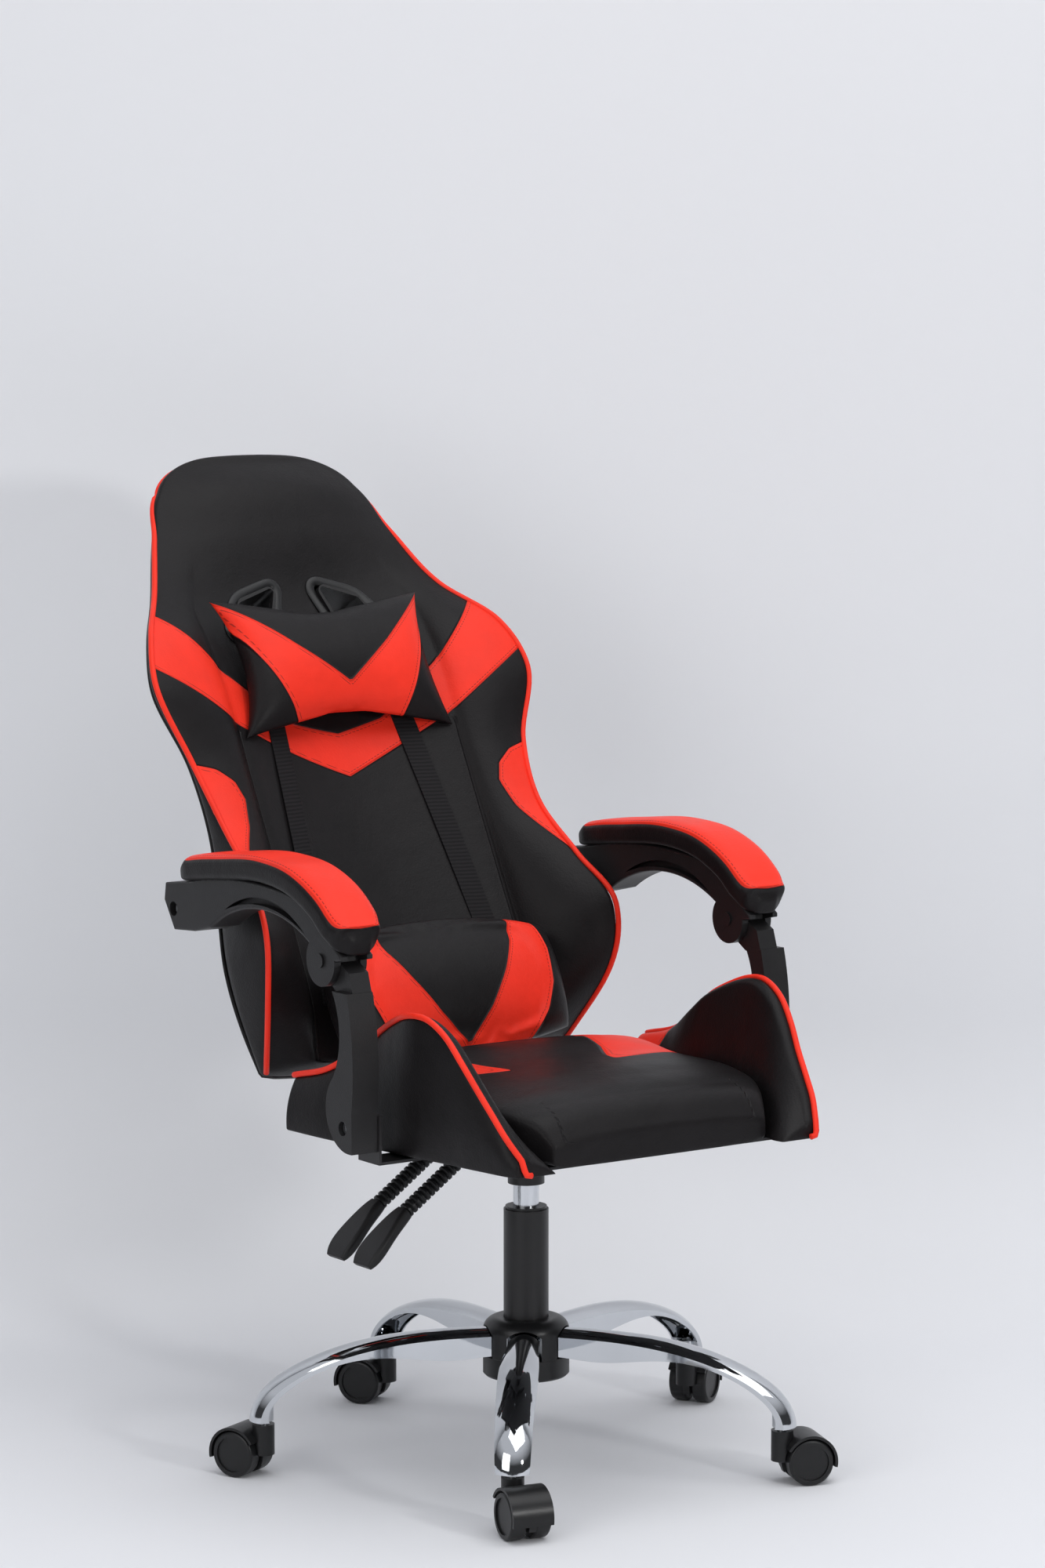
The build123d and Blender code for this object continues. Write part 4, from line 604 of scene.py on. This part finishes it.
def rear_loops():
    """The board behind the padding, wrapped in leather. Each loop is a bow 0.6 mm behind the padding, a
    rounded edge 7 mm thick, a bow whose middle lies 10 mm behind the padding, and the other edge."""
    s = np.linspace(0, BACK_LEN, 100)
    half, _, rear, *_ = back_section(s)
    deep = rear_middle(s)
    side = half - COVER_INSET
    near = rear - COVER_GAP - (rear - deep) * (1 - (side / half) ** 2)
    far = near - COVER_EDGE
    parts = [
        bow((-side, near), (0 * s, deep - COVER_GAP), (side, near), 36),
        bow((side, near), (side + 1.5, near - 4.0), (side - 1.0, far), 6),
        bow((side - 1.0, far), (0 * s, deep - COVER_MIDDLE), (1.0 - side, far), 36),
        bow((1.0 - side, far), (-side - 1.5, near - 4.0), (-side, near), 6),
    ]
    loop = np.concatenate(parts, 1)
    return on_back(loop[..., 0], np.broadcast_to(s[:, None], loop.shape[:2]), loop[..., 1])


cover = closed_form("backrest_rear_cover", rear_loops())
cut_openings(cover)
px, ps, pn = from_back(vertex_points(cover))
store(cover, "panel", np.full(len(px), PLAIN * mm))
store(cover, "run", ps * mm)
cover.data.materials.append(upholstery)
soften(cover)
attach(cover, "backrest")
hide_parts("back_shell")
print("rear cover has", len(px), "points")

# %% [markdown]
# On the front each opening is framed by the flat black rim of its moulding, which follows the padding.

# %% Rims of the openings
RIM_OUTSIDE = 5.0
RIM_LIFT = 0.8
RIM_HALF_WIDTH = 6.0
RIM_HALF_HEIGHT = 2.0


def front_height(x, s):
    """The padding's front between its seams: middle + (seam - middle)(x/sx)^2, blended into the dome."""
    half, edge, _, middle, seam, sx = back_section(s)
    bowed = middle + (seam - middle) * (x / sx) ** 2
    return domed(bowed, x, s, half, edge, middle)


def rim_loops():
    """A ring round an opening: an ellipse 12 by 4 mm carried along the outline, 5 mm outside it."""
    ring = np.concatenate([outline, outline[:1]])
    along = np.roll(outline, -1, 0) - np.roll(outline, 1, 0)
    along /= np.linalg.norm(along, axis=1, keepdims=True)
    outward = np.stack([along[:, 1], -along[:, 0]], 1)
    outward *= np.sign(((outline - outline.mean(0)) * outward).sum())
    outward = np.concatenate([outward, outward[:1]])
    turn = np.linspace(0, 2 * np.pi, 14, endpoint=False)
    flat = ring[:, None] + outward[:, None] * (RIM_OUTSIDE + RIM_HALF_WIDTH * np.cos(turn))[None, :, None]
    x, s = flat[..., 0], flat[..., 1]
    front = front_height(x.ravel(), s.ravel()).reshape(x.shape)
    return x, s, front + RIM_LIFT + RIM_HALF_HEIGHT * np.sin(turn)


x, s, n = rim_loops()
for hand, sign in (("left", 1), ("right", -1)):
    rim = make_mesh(f"strap_rim_{hand}", on_back(sign * x, s, n).reshape(-1, 3), grid_faces(*x.shape))
    rim.data.materials.append(nylon)
    soften(rim)
    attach(rim, "backrest")
print("rims stand", round(float(n.max()), 1), "mm forward")

# %% [markdown]
# Piping is a cord in a folded strip of red leather, sewn in along the edge where the front meets the side. It
# is a round tube that follows the edge up one side and down the other. Over the head it moves to the rear
# edge, so the padding hides it from the front.

# %% Backrest piping
PIPING_RADIUS = 3.2 * mm
TUCK_FROM = 600
TUCK_OVER = 120
below = np.linspace(2, CROWN_FROM, 104)
top_s, top_half, top_left = crown(np.linspace(0, 1, 24)[1:])
edge_s = np.concatenate([below, top_s - 8.0 * (1 - top_left)])
half, edge, rear, *_ = back_section(np.minimum(edge_s, BACK_LEN))
edge_x = np.concatenate([half[:len(below)] + 1.6, top_half - 5.0 * (1 - top_left)])
edge_x[-1] = 0.0
rearward = np.clip((edge_s - TUCK_FROM) / TUCK_OVER, 0, 1) ** 2
edge_n = edge - 0.8 + (rear - edge) * rearward
path = on_back(np.concatenate([edge_x, -edge_x[-2::-1]]), np.concatenate([edge_s, edge_s[-2::-1]]),
               np.concatenate([edge_n, edge_n[-2::-1]]))
piping = tube("backrest_piping", path, PIPING_RADIUS, FORWARD)
piping.data.materials.append(piping_leather)
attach(piping, "backrest")
print("piping runs", round(float(np.linalg.norm(np.diff(path, axis=0), axis=1).sum()), 2), "m")

# %% [markdown]
# ## The seat
#
# The seat is a box cushion with a rolled front between two raised sides. Its section is a rounded rectangle:
# a circle whose coordinates are raised to a low power, so that it fills its corners.

# %% Seat cushion
SEAT_Z = 374.3
SEAT_REAR = 97.0
SEAT_TOP_FROM = SEAT_Z + 20
ROLL_FROM = -200.0
CUSHION_FRONT = -246.0
CUSHION_CROWN = 6.0
CUSHION_POWER = 0.3
FRONT_SEAM_X = 122
TRIANGLE = [(75, -72), (178, -46), (240, -28), (240, 130), (128, 130)]
CUSHION_KNOTS = np.array([97.0, 88, 56, -47, -150, -205, -232, -246])
CUSHION_VALUES = np.array([
    # half width, height
    (176, 44), (180, 58), (182, 69), (182, 66), (178, 65), (160, 58), (144, 46), (136, 26),
])


def cushion_loops():
    """Rows from rear to front. x = half sign(cos a)|cos a|^0.3 and z = height/2 (1 + sign(sin a)|sin a|^0.3),
    with a crown of 6 mm that falls away with the square of x."""
    y = np.concatenate([np.linspace(SEAT_REAR, ROLL_FROM, 62), np.linspace(ROLL_FROM - 4, CUSHION_FRONT, 20)])
    half, high = curve(-CUSHION_KNOTS, CUSHION_VALUES, -y).T[..., None]
    turn = np.linspace(0, 2 * np.pi, 96, endpoint=False)[None, :]
    c, q = np.cos(turn), np.sin(turn)
    x = half * np.sign(c) * np.abs(c) ** CUSHION_POWER
    z = high / 2 * (1 + np.sign(q) * np.abs(q) ** CUSHION_POWER)
    swell = CUSHION_CROWN * (1 - (x / half) ** 2) * (z > high * 0.4)
    return np.stack([x, np.broadcast_to(y[:, None], x.shape), SEAT_Z + z + swell], -1) * mm


seat = closed_form("seat_cushion_cover", cushion_loops())
points = vertex_points(seat) / mm
aside = np.abs(points[:, 0])
red = inside_distance(np.stack([aside, points[:, 1]], 1), TRIANGLE)
red = np.where(points[:, 2] > SEAT_TOP_FROM, red, PLAIN)
front_seam = black_seam(aside - FRONT_SEAM_X, points[:, 1] < ROLL_FROM)
store(seat, "panel", np.maximum(red, front_seam) * mm)
store(seat, "run", (points[:, 0] + points[:, 1] + points[:, 2]) * mm)
seat.data.materials.append(upholstery)
soften(seat)
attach(seat, "seat")
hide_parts("seat_cushion")
print("seat cushion has", len(points), "points")

# %% Seat sides
SIDE_FRONT = -263.0
SIDE_ROLL = 16.0
PIPING_LIFT = 2.5
SIDE_PANEL = [(150, 130), (150, 34), (205, 44), (226, 20), (231, 130)]
SIDE_KNOTS = np.array([97.0, 30, -20, -45, -75, -100, -120, -136, -155, -170, -190, -210, -230, -248, -263])
SIDE_VALUES = np.array([
    # outer foot, ridge, ridge height, inner foot
    (246, 235, 56, 188), (241, 230, 74, 188), (234, 220, 104, 188), (229, 218, 121, 188),
    (224, 221, 136, 188), (221, 224, 145, 187), (218, 224, 148, 186), (215, 222, 147, 183),
    (212, 220, 140, 179), (210, 218, 130, 174), (208, 214, 108, 165), (205, 208, 82, 156),
    (202, 203, 58, 148), (198, 198, 36, 143), (192, 190, 16, 146),
])


def side_loops():
    """Rows from rear to front of the sitter's left side. Each loop is the foot, the bowed outer face, the
    rolled ridge and the bowed inner face."""
    y = np.concatenate([np.linspace(SEAT_REAR, -150, 60), np.linspace(-153, SIDE_FRONT, 44)])
    out, ridge, high, near = curve(-SIDE_KNOTS, SIDE_VALUES, -y).T
    roll = np.minimum(SIDE_ROLL, 0.8 * high)
    top = ridge - roll
    parts = [
        bow((near, 0 * y), ((near + out) / 2, 0 * y), (out, 0 * y), 12),
        bow((out, 0 * y), ((out + ridge) / 2 + 4.0, high / 2), (ridge, high - 2), 20),
        bow((ridge, high - 2), (ridge - roll / 2, high + 2), (top, high - 0.2 * roll), 10),
        bow((top, high - 0.2 * roll), ((near + top) / 2 - 2.0, high / 2), (near, 0 * y), 20),
    ]
    loop = np.concatenate(parts, 1)
    depth = np.broadcast_to(y[:, None], loop.shape[:2])
    return np.stack([loop[..., 0], depth, SEAT_Z + loop[..., 1]], -1) * mm


loops = side_loops()
ridge_y = np.linspace(SEAT_REAR, SIDE_FRONT, 120)
_, ridge, high, _ = curve(-SIDE_KNOTS, SIDE_VALUES, -ridge_y).T
ridge_path = np.stack([ridge - 0.5, ridge_y, SEAT_Z + high + PIPING_LIFT], 1)
corner_path = [(188, -266, SEAT_Z + 9), (186, -267, SEAT_Z + 4), (180, -267, SEAT_Z + 3)]
ridge_path = np.concatenate([ridge_path, corner_path]) * mm
for hand, sign in (("left", 1), ("right", -1)):
    flip = np.array([sign, 1, 1])
    side = closed_form(f"seat_side_{hand}", loops * flip)
    points = vertex_points(side) / mm
    red = inside_distance(points[:, :2] * (sign, 1), SIDE_PANEL)
    store(side, "panel", np.where(points[:, 2] > SEAT_TOP_FROM, red, PLAIN) * mm)
    store(side, "run", points[:, 1] * mm)
    side.data.materials.append(upholstery)
    soften(side)
    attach(side, "seat")
    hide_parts(f"seat_bolster_{hand}")
    cord = tube(f"seat_piping_{hand}", ridge_path * flip, PIPING_RADIUS, (1.0, 0.0, 0.0))
    cord.data.materials.append(piping_leather)
    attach(cord, "seat")
print("seat sides rise", SIDE_VALUES[:, 2].max(), "mm")

# %% [markdown]
# ## The pillows
#
# A pillow is two panels sewn at the rim and stuffed, so it is thick in the middle, thin at the rim, and its
# sides pull in between pointed corners. The form is worked out first, a little small. Then Blender's cloth
# inflates it, which gives the small puckers of a real seam. The grid is fine enough for the cloth as it is,
# and its corners stay pointed.

# %% Stuffed forms
FRONT_POWER = 7
REAR_POWER = 4
CLOTH_FRAMES = 20


def pillow_form(name, s0, n0, width, corner, waist, front, rear, pull, power):
    """Two panels over u, w in [-1, 1]: x = u width/2 (1 - pull(1 - w^2)), s = w height(u)/2, and
    n = thickness ((1 - u^m)(1 - w^2))^power. The front panel is fuller at its sides, with m = 7, and the rear
    one, which lies on the back, has m = 4. The height goes from waist to corner with the square of u."""
    u = np.linspace(-1, 1, 60)[:, None]
    w = np.sin(np.linspace(-np.pi / 2, np.pi / 2, 36))[None, :]
    u, w = np.broadcast_arrays(u, w)
    height = waist + (corner - waist) * u**2
    x = u * width / 2 * (1 - pull * (1 - w**2))
    s = s0 + w * height / 2
    full = np.maximum((1 - np.abs(u) ** FRONT_POWER) * (1 - w**2), 0) ** power
    flat = np.maximum((1 - u**REAR_POWER) * (1 - w**2), 0) ** power
    panels = [on_back(x, s, n0 + front * full), on_back(x, s, n0 - rear * flat)]
    faces = grid_faces(*u.shape, wrap=False)
    points = np.concatenate([panel.reshape(-1, 3) for panel in panels])
    return make_mesh(name, points, np.concatenate([faces, faces[:, ::-1] + u.size]))


def inflate(made, cap_mm, pressure=4.0):
    """Lets cloth pressure swell a closed form for 20 frames and keeps each point's move under a cap."""
    bpy.context.view_layer.objects.active = made
    before = vertex_points(made)
    cloth = made.modifiers.new("Cloth", "CLOTH")
    cloth.settings.use_pressure = True
    cloth.settings.uniform_pressure_force = pressure
    cloth.settings.effector_weights.gravity = 0
    cloth.point_cache.frame_end = CLOTH_FRAMES
    scene = bpy.context.scene
    for moment in range(1, CLOTH_FRAMES + 1):
        scene.frame_set(moment)
    bpy.ops.object.modifier_apply(modifier=cloth.name)
    scene.frame_set(1)
    move = vertex_points(made) - before
    far = np.linalg.norm(move, axis=1, keepdims=True)
    move *= np.minimum(1, cap_mm * mm / np.maximum(far, 1e-9))
    made.data.vertices.foreach_set("co", (before + move).astype(np.float32).ravel())
    made.data.update()
    made.data.shade_smooth()
    return float(far.max()) / mm


# %% Head pillow
SWELL_CAP = 5.0
HEAD_S = 461.0
HEAD_FRONT_FROM = 46
CHEVRON = [(0, -33), (60, 14), (147, 90), (122, 36), (106, 0), (88, -38), (66, -80), (-50, -80), (-50, -33)]
head = pillow_form("head_pillow_cover", HEAD_S, 52.4, width=286.0, corner=170.0, waist=132.0,
                   front=33.0, rear=14.0, pull=0.13, power=0.5)
print("head pillow swelled", round(inflate(head, SWELL_CAP), 1), "mm before its cap")
px, ps, pn = from_back(vertex_points(head))
red = inside_distance(np.stack([np.abs(px), ps - HEAD_S], 1), CHEVRON)
store(head, "panel", np.where(pn > HEAD_FRONT_FROM, red, PLAIN) * mm)
store(head, "run", (px + ps) * mm)
head.data.materials.append(upholstery)
soften(head)
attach(head, "head_pillow")
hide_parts("head_pillow")
print("head pillow has", len(px), "points")

# %% Lumbar pillow
LUMBAR_S = 50.0
LUMBAR_FRONT_FROM = 70
STRIPE = [(94, 85), (82, 40), (62, 5), (34, -35), (0, -72), (0, -90), (76, -90), (88, -70),
          (108, -45), (121, -15), (127, 25), (122, 85)]
lumbar = pillow_form("lumbar_pillow_cover", LUMBAR_S, 86.0, width=300.0, corner=118.0, waist=150.0,
                     front=44.0, rear=50.0, pull=0.0, power=0.45)
print("lumbar pillow swelled", round(inflate(lumbar, SWELL_CAP), 1), "mm before its cap")
px, ps, pn = from_back(vertex_points(lumbar))
red = inside_distance(np.stack([np.abs(px), ps - LUMBAR_S], 1), STRIPE)
store(lumbar, "panel", np.where(pn > LUMBAR_FRONT_FROM, red, PLAIN) * mm)
store(lumbar, "run", (px + ps) * mm)
lumbar.data.materials.append(upholstery)
soften(lumbar)
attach(lumbar, "lumbar_pillow")
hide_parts("lumbar_pillow")
print("lumbar pillow has", len(px), "points")

# %% [markdown]
# ## Arm pads
#
# Each pad is foam on the arm's curved top, with black sides and a red top sewn on with one row of stitches.
# Its section is carried along the arm's line and turned with it.

# %% Arm pads
PIVOT = np.array([265.0, -36.0, 577.0])
PAD_HALF = 33.0
PAD_THICK = 32.0
PAD_POWER = 0.42
PAD_BOW = 4.0
PANEL_CORNER = 18.0
PAD_LINE = np.array([(276, 52.6), (262, 54.3), (246, 56.3), (190, 62.8), (105, 68.5), (46, 60.7), (5, 43.1),
                     (-20.5, 22.1), (-36, 11.3), (-43, 9.1)])
PAD_SHARES = np.array([(0.70, 0.62), (0.84, 0.84), (0.87, 0.89), (0.90, 0.92), (0.95, 0.96), (1.0, 1.0),
                       (1.0, 1.0), (0.92, 1.0), (0.66, 0.85), (0.36, 0.5)])


def pad_loops():
    """Rows from rear to front. The section is a rounded box 66 by 32 mm whose top is bowed, turned with the
    line. The red panel's distance to its seam is that of a rectangle with corners of 18 mm."""
    steps = np.concatenate([[0], np.cumsum(np.linalg.norm(np.diff(PAD_LINE, axis=0), axis=1))])
    at = np.concatenate([np.linspace(0, 20, 8), np.linspace(25, steps[-1] - 30, 56),
                         np.linspace(steps[-1] - 26, steps[-1], 14)])
    line = curve(steps, PAD_LINE, at)
    wide, thick = curve(steps, PAD_SHARES, at).T[..., None]
    along = np.gradient(line, axis=0)
    along /= np.linalg.norm(along, axis=1, keepdims=True)
    turn = np.linspace(0, 2 * np.pi, 72, endpoint=False)[None, :]
    c, q = np.cos(turn), np.sin(turn)
    across = PAD_HALF * wide * np.sign(c) * np.abs(c) ** PAD_POWER
    up = PAD_THICK * thick * (0.5 + 0.5 * np.sign(q) * np.abs(q) ** PAD_POWER)
    up = np.where(q > 0, up - PAD_BOW * thick * (c**2), up)
    normal = np.stack([along[:, 1], -along[:, 0]], 1)
    y = line[:, :1] + normal[:, :1] * up
    z = line[:, 1:] + normal[:, 1:] * up
    from_end = np.minimum(at - 4.0, steps[-1] - at - 9.0)[:, None]
    from_side = PAD_HALF * wide - np.abs(across) - 2.0
    past_end = np.maximum(PANEL_CORNER - from_end, 0)
    past_side = np.maximum(PANEL_CORNER - from_side, 0)
    red = PANEL_CORNER - np.hypot(past_end, past_side)
    red = np.where((q > 0.12) & (up > 17.0 * thick), red, PLAIN)
    return across, y, z, np.broadcast_to(red, across.shape), np.broadcast_to(at[:, None], across.shape)


across, y, z, red, at = pad_loops()
cap_rows = ((2, 2), (0, 0))
marks = {"panel": np.pad(red, cap_rows, "edge") * mm, "run": np.pad(at, cap_rows, "edge") * mm}
for hand, sign in (("left", 1), ("right", -1)):
    loops = capped(np.stack([sign * (PIVOT[0] + across), PIVOT[1] + y, PIVOT[2] + z], -1) * mm)
    pad = make_mesh(f"arm_pad_cover_{hand}", loops.reshape(-1, 3), grid_faces(*loops.shape[:2]), marks)
    pad.data.materials.append(upholstery)
    soften(pad)
    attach(pad, f"arm_{hand}")
    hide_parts(f"arm_pad_{hand}")
print("arm pads are", round(float(at.max())), "mm long")

# %% [markdown]
# ## Finishes of the hard parts
#
# The rest of the chair is the CAD model itself. Each node gets the finish of what it is made of.

# %% CAD nodes
FINISHES = {
    chrome: ["leg_1", "leg_2", "leg_3", "leg_4", "leg_5"],
    ground_steel: ["gas_cylinder"],
    steel: ["hub_core", "piston_rod", "seat_fasteners", "back_fasteners", "release_button"],
    powder_coat: ["gas_tube", "mechanism", "back_bar", "post_brackets", "seat_pan",
                  "lift_lever_rod", "lock_lever_rod"],
    sleeve_rubber: ["lift_lever_bellows", "lock_lever_bellows"],
    webbing: ["pillow_straps"],
    arm_plastic: ["arm_frame_left", "arm_frame_right", "post_left", "post_right", "strap_mouldings",
                  "lift_lever_paddle", "lock_lever_paddle", "arm_pin_left", "arm_pin_right"],
    nylon: ["hub_cover_upper", "hub_cover_lower", "guide_bush"],
}
for number in range(1, 6):
    FINISHES[nylon] += [f"caster_{number}_housing", f"caster_{number}_wheels"]
    FINISHES[steel] += [f"caster_{number}_pins"]
for finish, names in FINISHES.items():
    for name in names:
        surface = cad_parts[name].data
        surface.materials.clear()
        surface.materials.append(finish)
print("finished", sum(len(names) for names in FINISHES.values()), "CAD nodes")

# %% [markdown]
# ## Studio
#
# The chair stands on a pale paper sweep: a floor that curves up into a wall behind it. From its rear the
# paper is clear, so the chair shows from behind too. A lamp on the right throws the shadow to the left, and a
# sky fills it. The sky is dark near the horizon, which gives the chrome its dark bands. The camera itself
# sees it pale.

# %% Floor and wall
SWEEP_TURN = np.radians(35)
SWEEP_BEND = 0.35
SWEEP_AWAY = 0.5


def sweep_points():
    """A profile along the depth: flat floor, a quarter circle of 0.35 m, then a wall, carried sideways by
    12 m. The profile is turned 35 degrees, to face the camera."""
    floor = np.stack([np.linspace(-9, 0, 20), np.zeros(20)], 1)
    turn = np.linspace(0, np.pi / 2, 24)[1:]
    bend = SWEEP_BEND * np.stack([np.sin(turn), 1 - np.cos(turn)], 1)
    wall = np.stack([np.full(20, SWEEP_BEND), np.linspace(0.45, 7, 20)], 1)
    profile = np.concatenate([floor, bend, wall])
    away = np.array([np.sin(SWEEP_TURN), np.cos(SWEEP_TURN), 0.0])
    aside = np.array([np.cos(SWEEP_TURN), -np.sin(SWEEP_TURN), 0.0])
    depth = away * (profile[:, :1] + SWEEP_AWAY)
    height = np.array([0.0, 0.0, 1.0]) * profile[:, 1:]
    across = np.linspace(-6, 6, 13)[None, :, None] * aside
    return (depth + height)[:, None] + across


points = sweep_points()
backdrop = make_mesh("backdrop", points.reshape(-1, 3), grid_faces(*points.shape[:2], wrap=False))
paper, tree, shader, _ = new_material("Backdrop paper")
shader.inputs["Base Color"].default_value = linear("#e6e7ea")
shader.inputs["Roughness"].default_value = 0.85
rear_side = add(tree, "NewGeometry").outputs["Backfacing"]
clear = add(tree, "BsdfTransparent").outputs["BSDF"]
seen = add(tree, "MixShader", {0: rear_side, 1: shader.outputs["BSDF"], 2: clear})
tree.links.new(seen.outputs["Shader"], tree.nodes["Material Output"].inputs["Surface"])
backdrop.data.materials.append(paper)
if backdrop.data.polygons[0].normal.z < 0:
    backdrop.data.flip_normals()
print("backdrop ready")

# %% Light
SKY_LOW = 0.06
SKY_HIGH = 0.75
scene = bpy.context.scene
scene.view_settings.view_transform = "Standard"
world = bpy.data.worlds.new("Studio")
world.use_nodes = True
tree = world.node_tree
background = tree.nodes["Background"]
background.inputs["Color"].default_value = linear("#f0f2f8")
direction = add(tree, "TexCoord").outputs["Object"]
height = add(tree, "SeparateXYZ", {"Vector": direction}).outputs["Z"]
level = add(tree, "MapRange", {"Value": height, "From Min": 0.3, "From Max": 0.7,
                               "To Min": SKY_LOW, "To Max": SKY_HIGH})
camera_ray = add(tree, "LightPath").outputs["Is Camera Ray"]
seen = add(tree, "Math", {0: camera_ray, 1: SKY_HIGH}, operation="MULTIPLY")
strength = add(tree, "Math", {0: level.outputs["Result"], 1: seen.outputs[0]}, operation="MAXIMUM")
tree.links.new(strength.outputs[0], background.inputs["Strength"])
scene.world = world


def softbox(name, place, aim, size, watts):
    """A square lamp at a place, turned to face a point."""
    lamp = bpy.data.lights.new(name, "AREA")
    lamp.size = size
    lamp.energy = watts
    made = bpy.data.objects.new(name, lamp)
    made.location = place
    made.rotation_euler = (Vector(aim) - Vector(place)).to_track_quat("-Z", "Y").to_euler()
    scene.collection.objects.link(made)


softbox("key", (0.5, -4.0, 1.5), (0, 0, 0.6), 0.35, 34)
softbox("sky", (0.2, -1.0, 3.6), (0, 0.1, 0), 3.2, 58)
softbox("fill", (-3.4, -1.2, 1.6), (0, 0.4, 0.6), 2.4, 38)
print("lit by", len(bpy.data.lights), "lamps and a sky")

# %% Camera
TURN = np.radians(-35.0)
TILT = np.radians(6.48)
DISTANCE = 4.8
CAMERA_HEIGHT = 1.2842
LENS_MM = 103.48
SIDE_SHIFT = -0.0023
camera = bpy.data.objects.new("camera", bpy.data.cameras.new("camera"))
camera.location = (DISTANCE * np.sin(TURN), -DISTANCE * np.cos(TURN), CAMERA_HEIGHT)
ahead = Vector((-np.sin(TURN) * np.cos(TILT), np.cos(TURN) * np.cos(TILT), -np.sin(TILT)))
camera.rotation_euler = ahead.to_track_quat("-Z", "Y").to_euler()
camera.data.sensor_fit = "VERTICAL"
camera.data.sensor_height = 36.0
camera.data.lens = LENS_MM
camera.data.shift_x = SIDE_SHIFT
scene.collection.objects.link(camera)
scene.camera = camera
print("camera at", [round(c, 2) for c in camera.location])
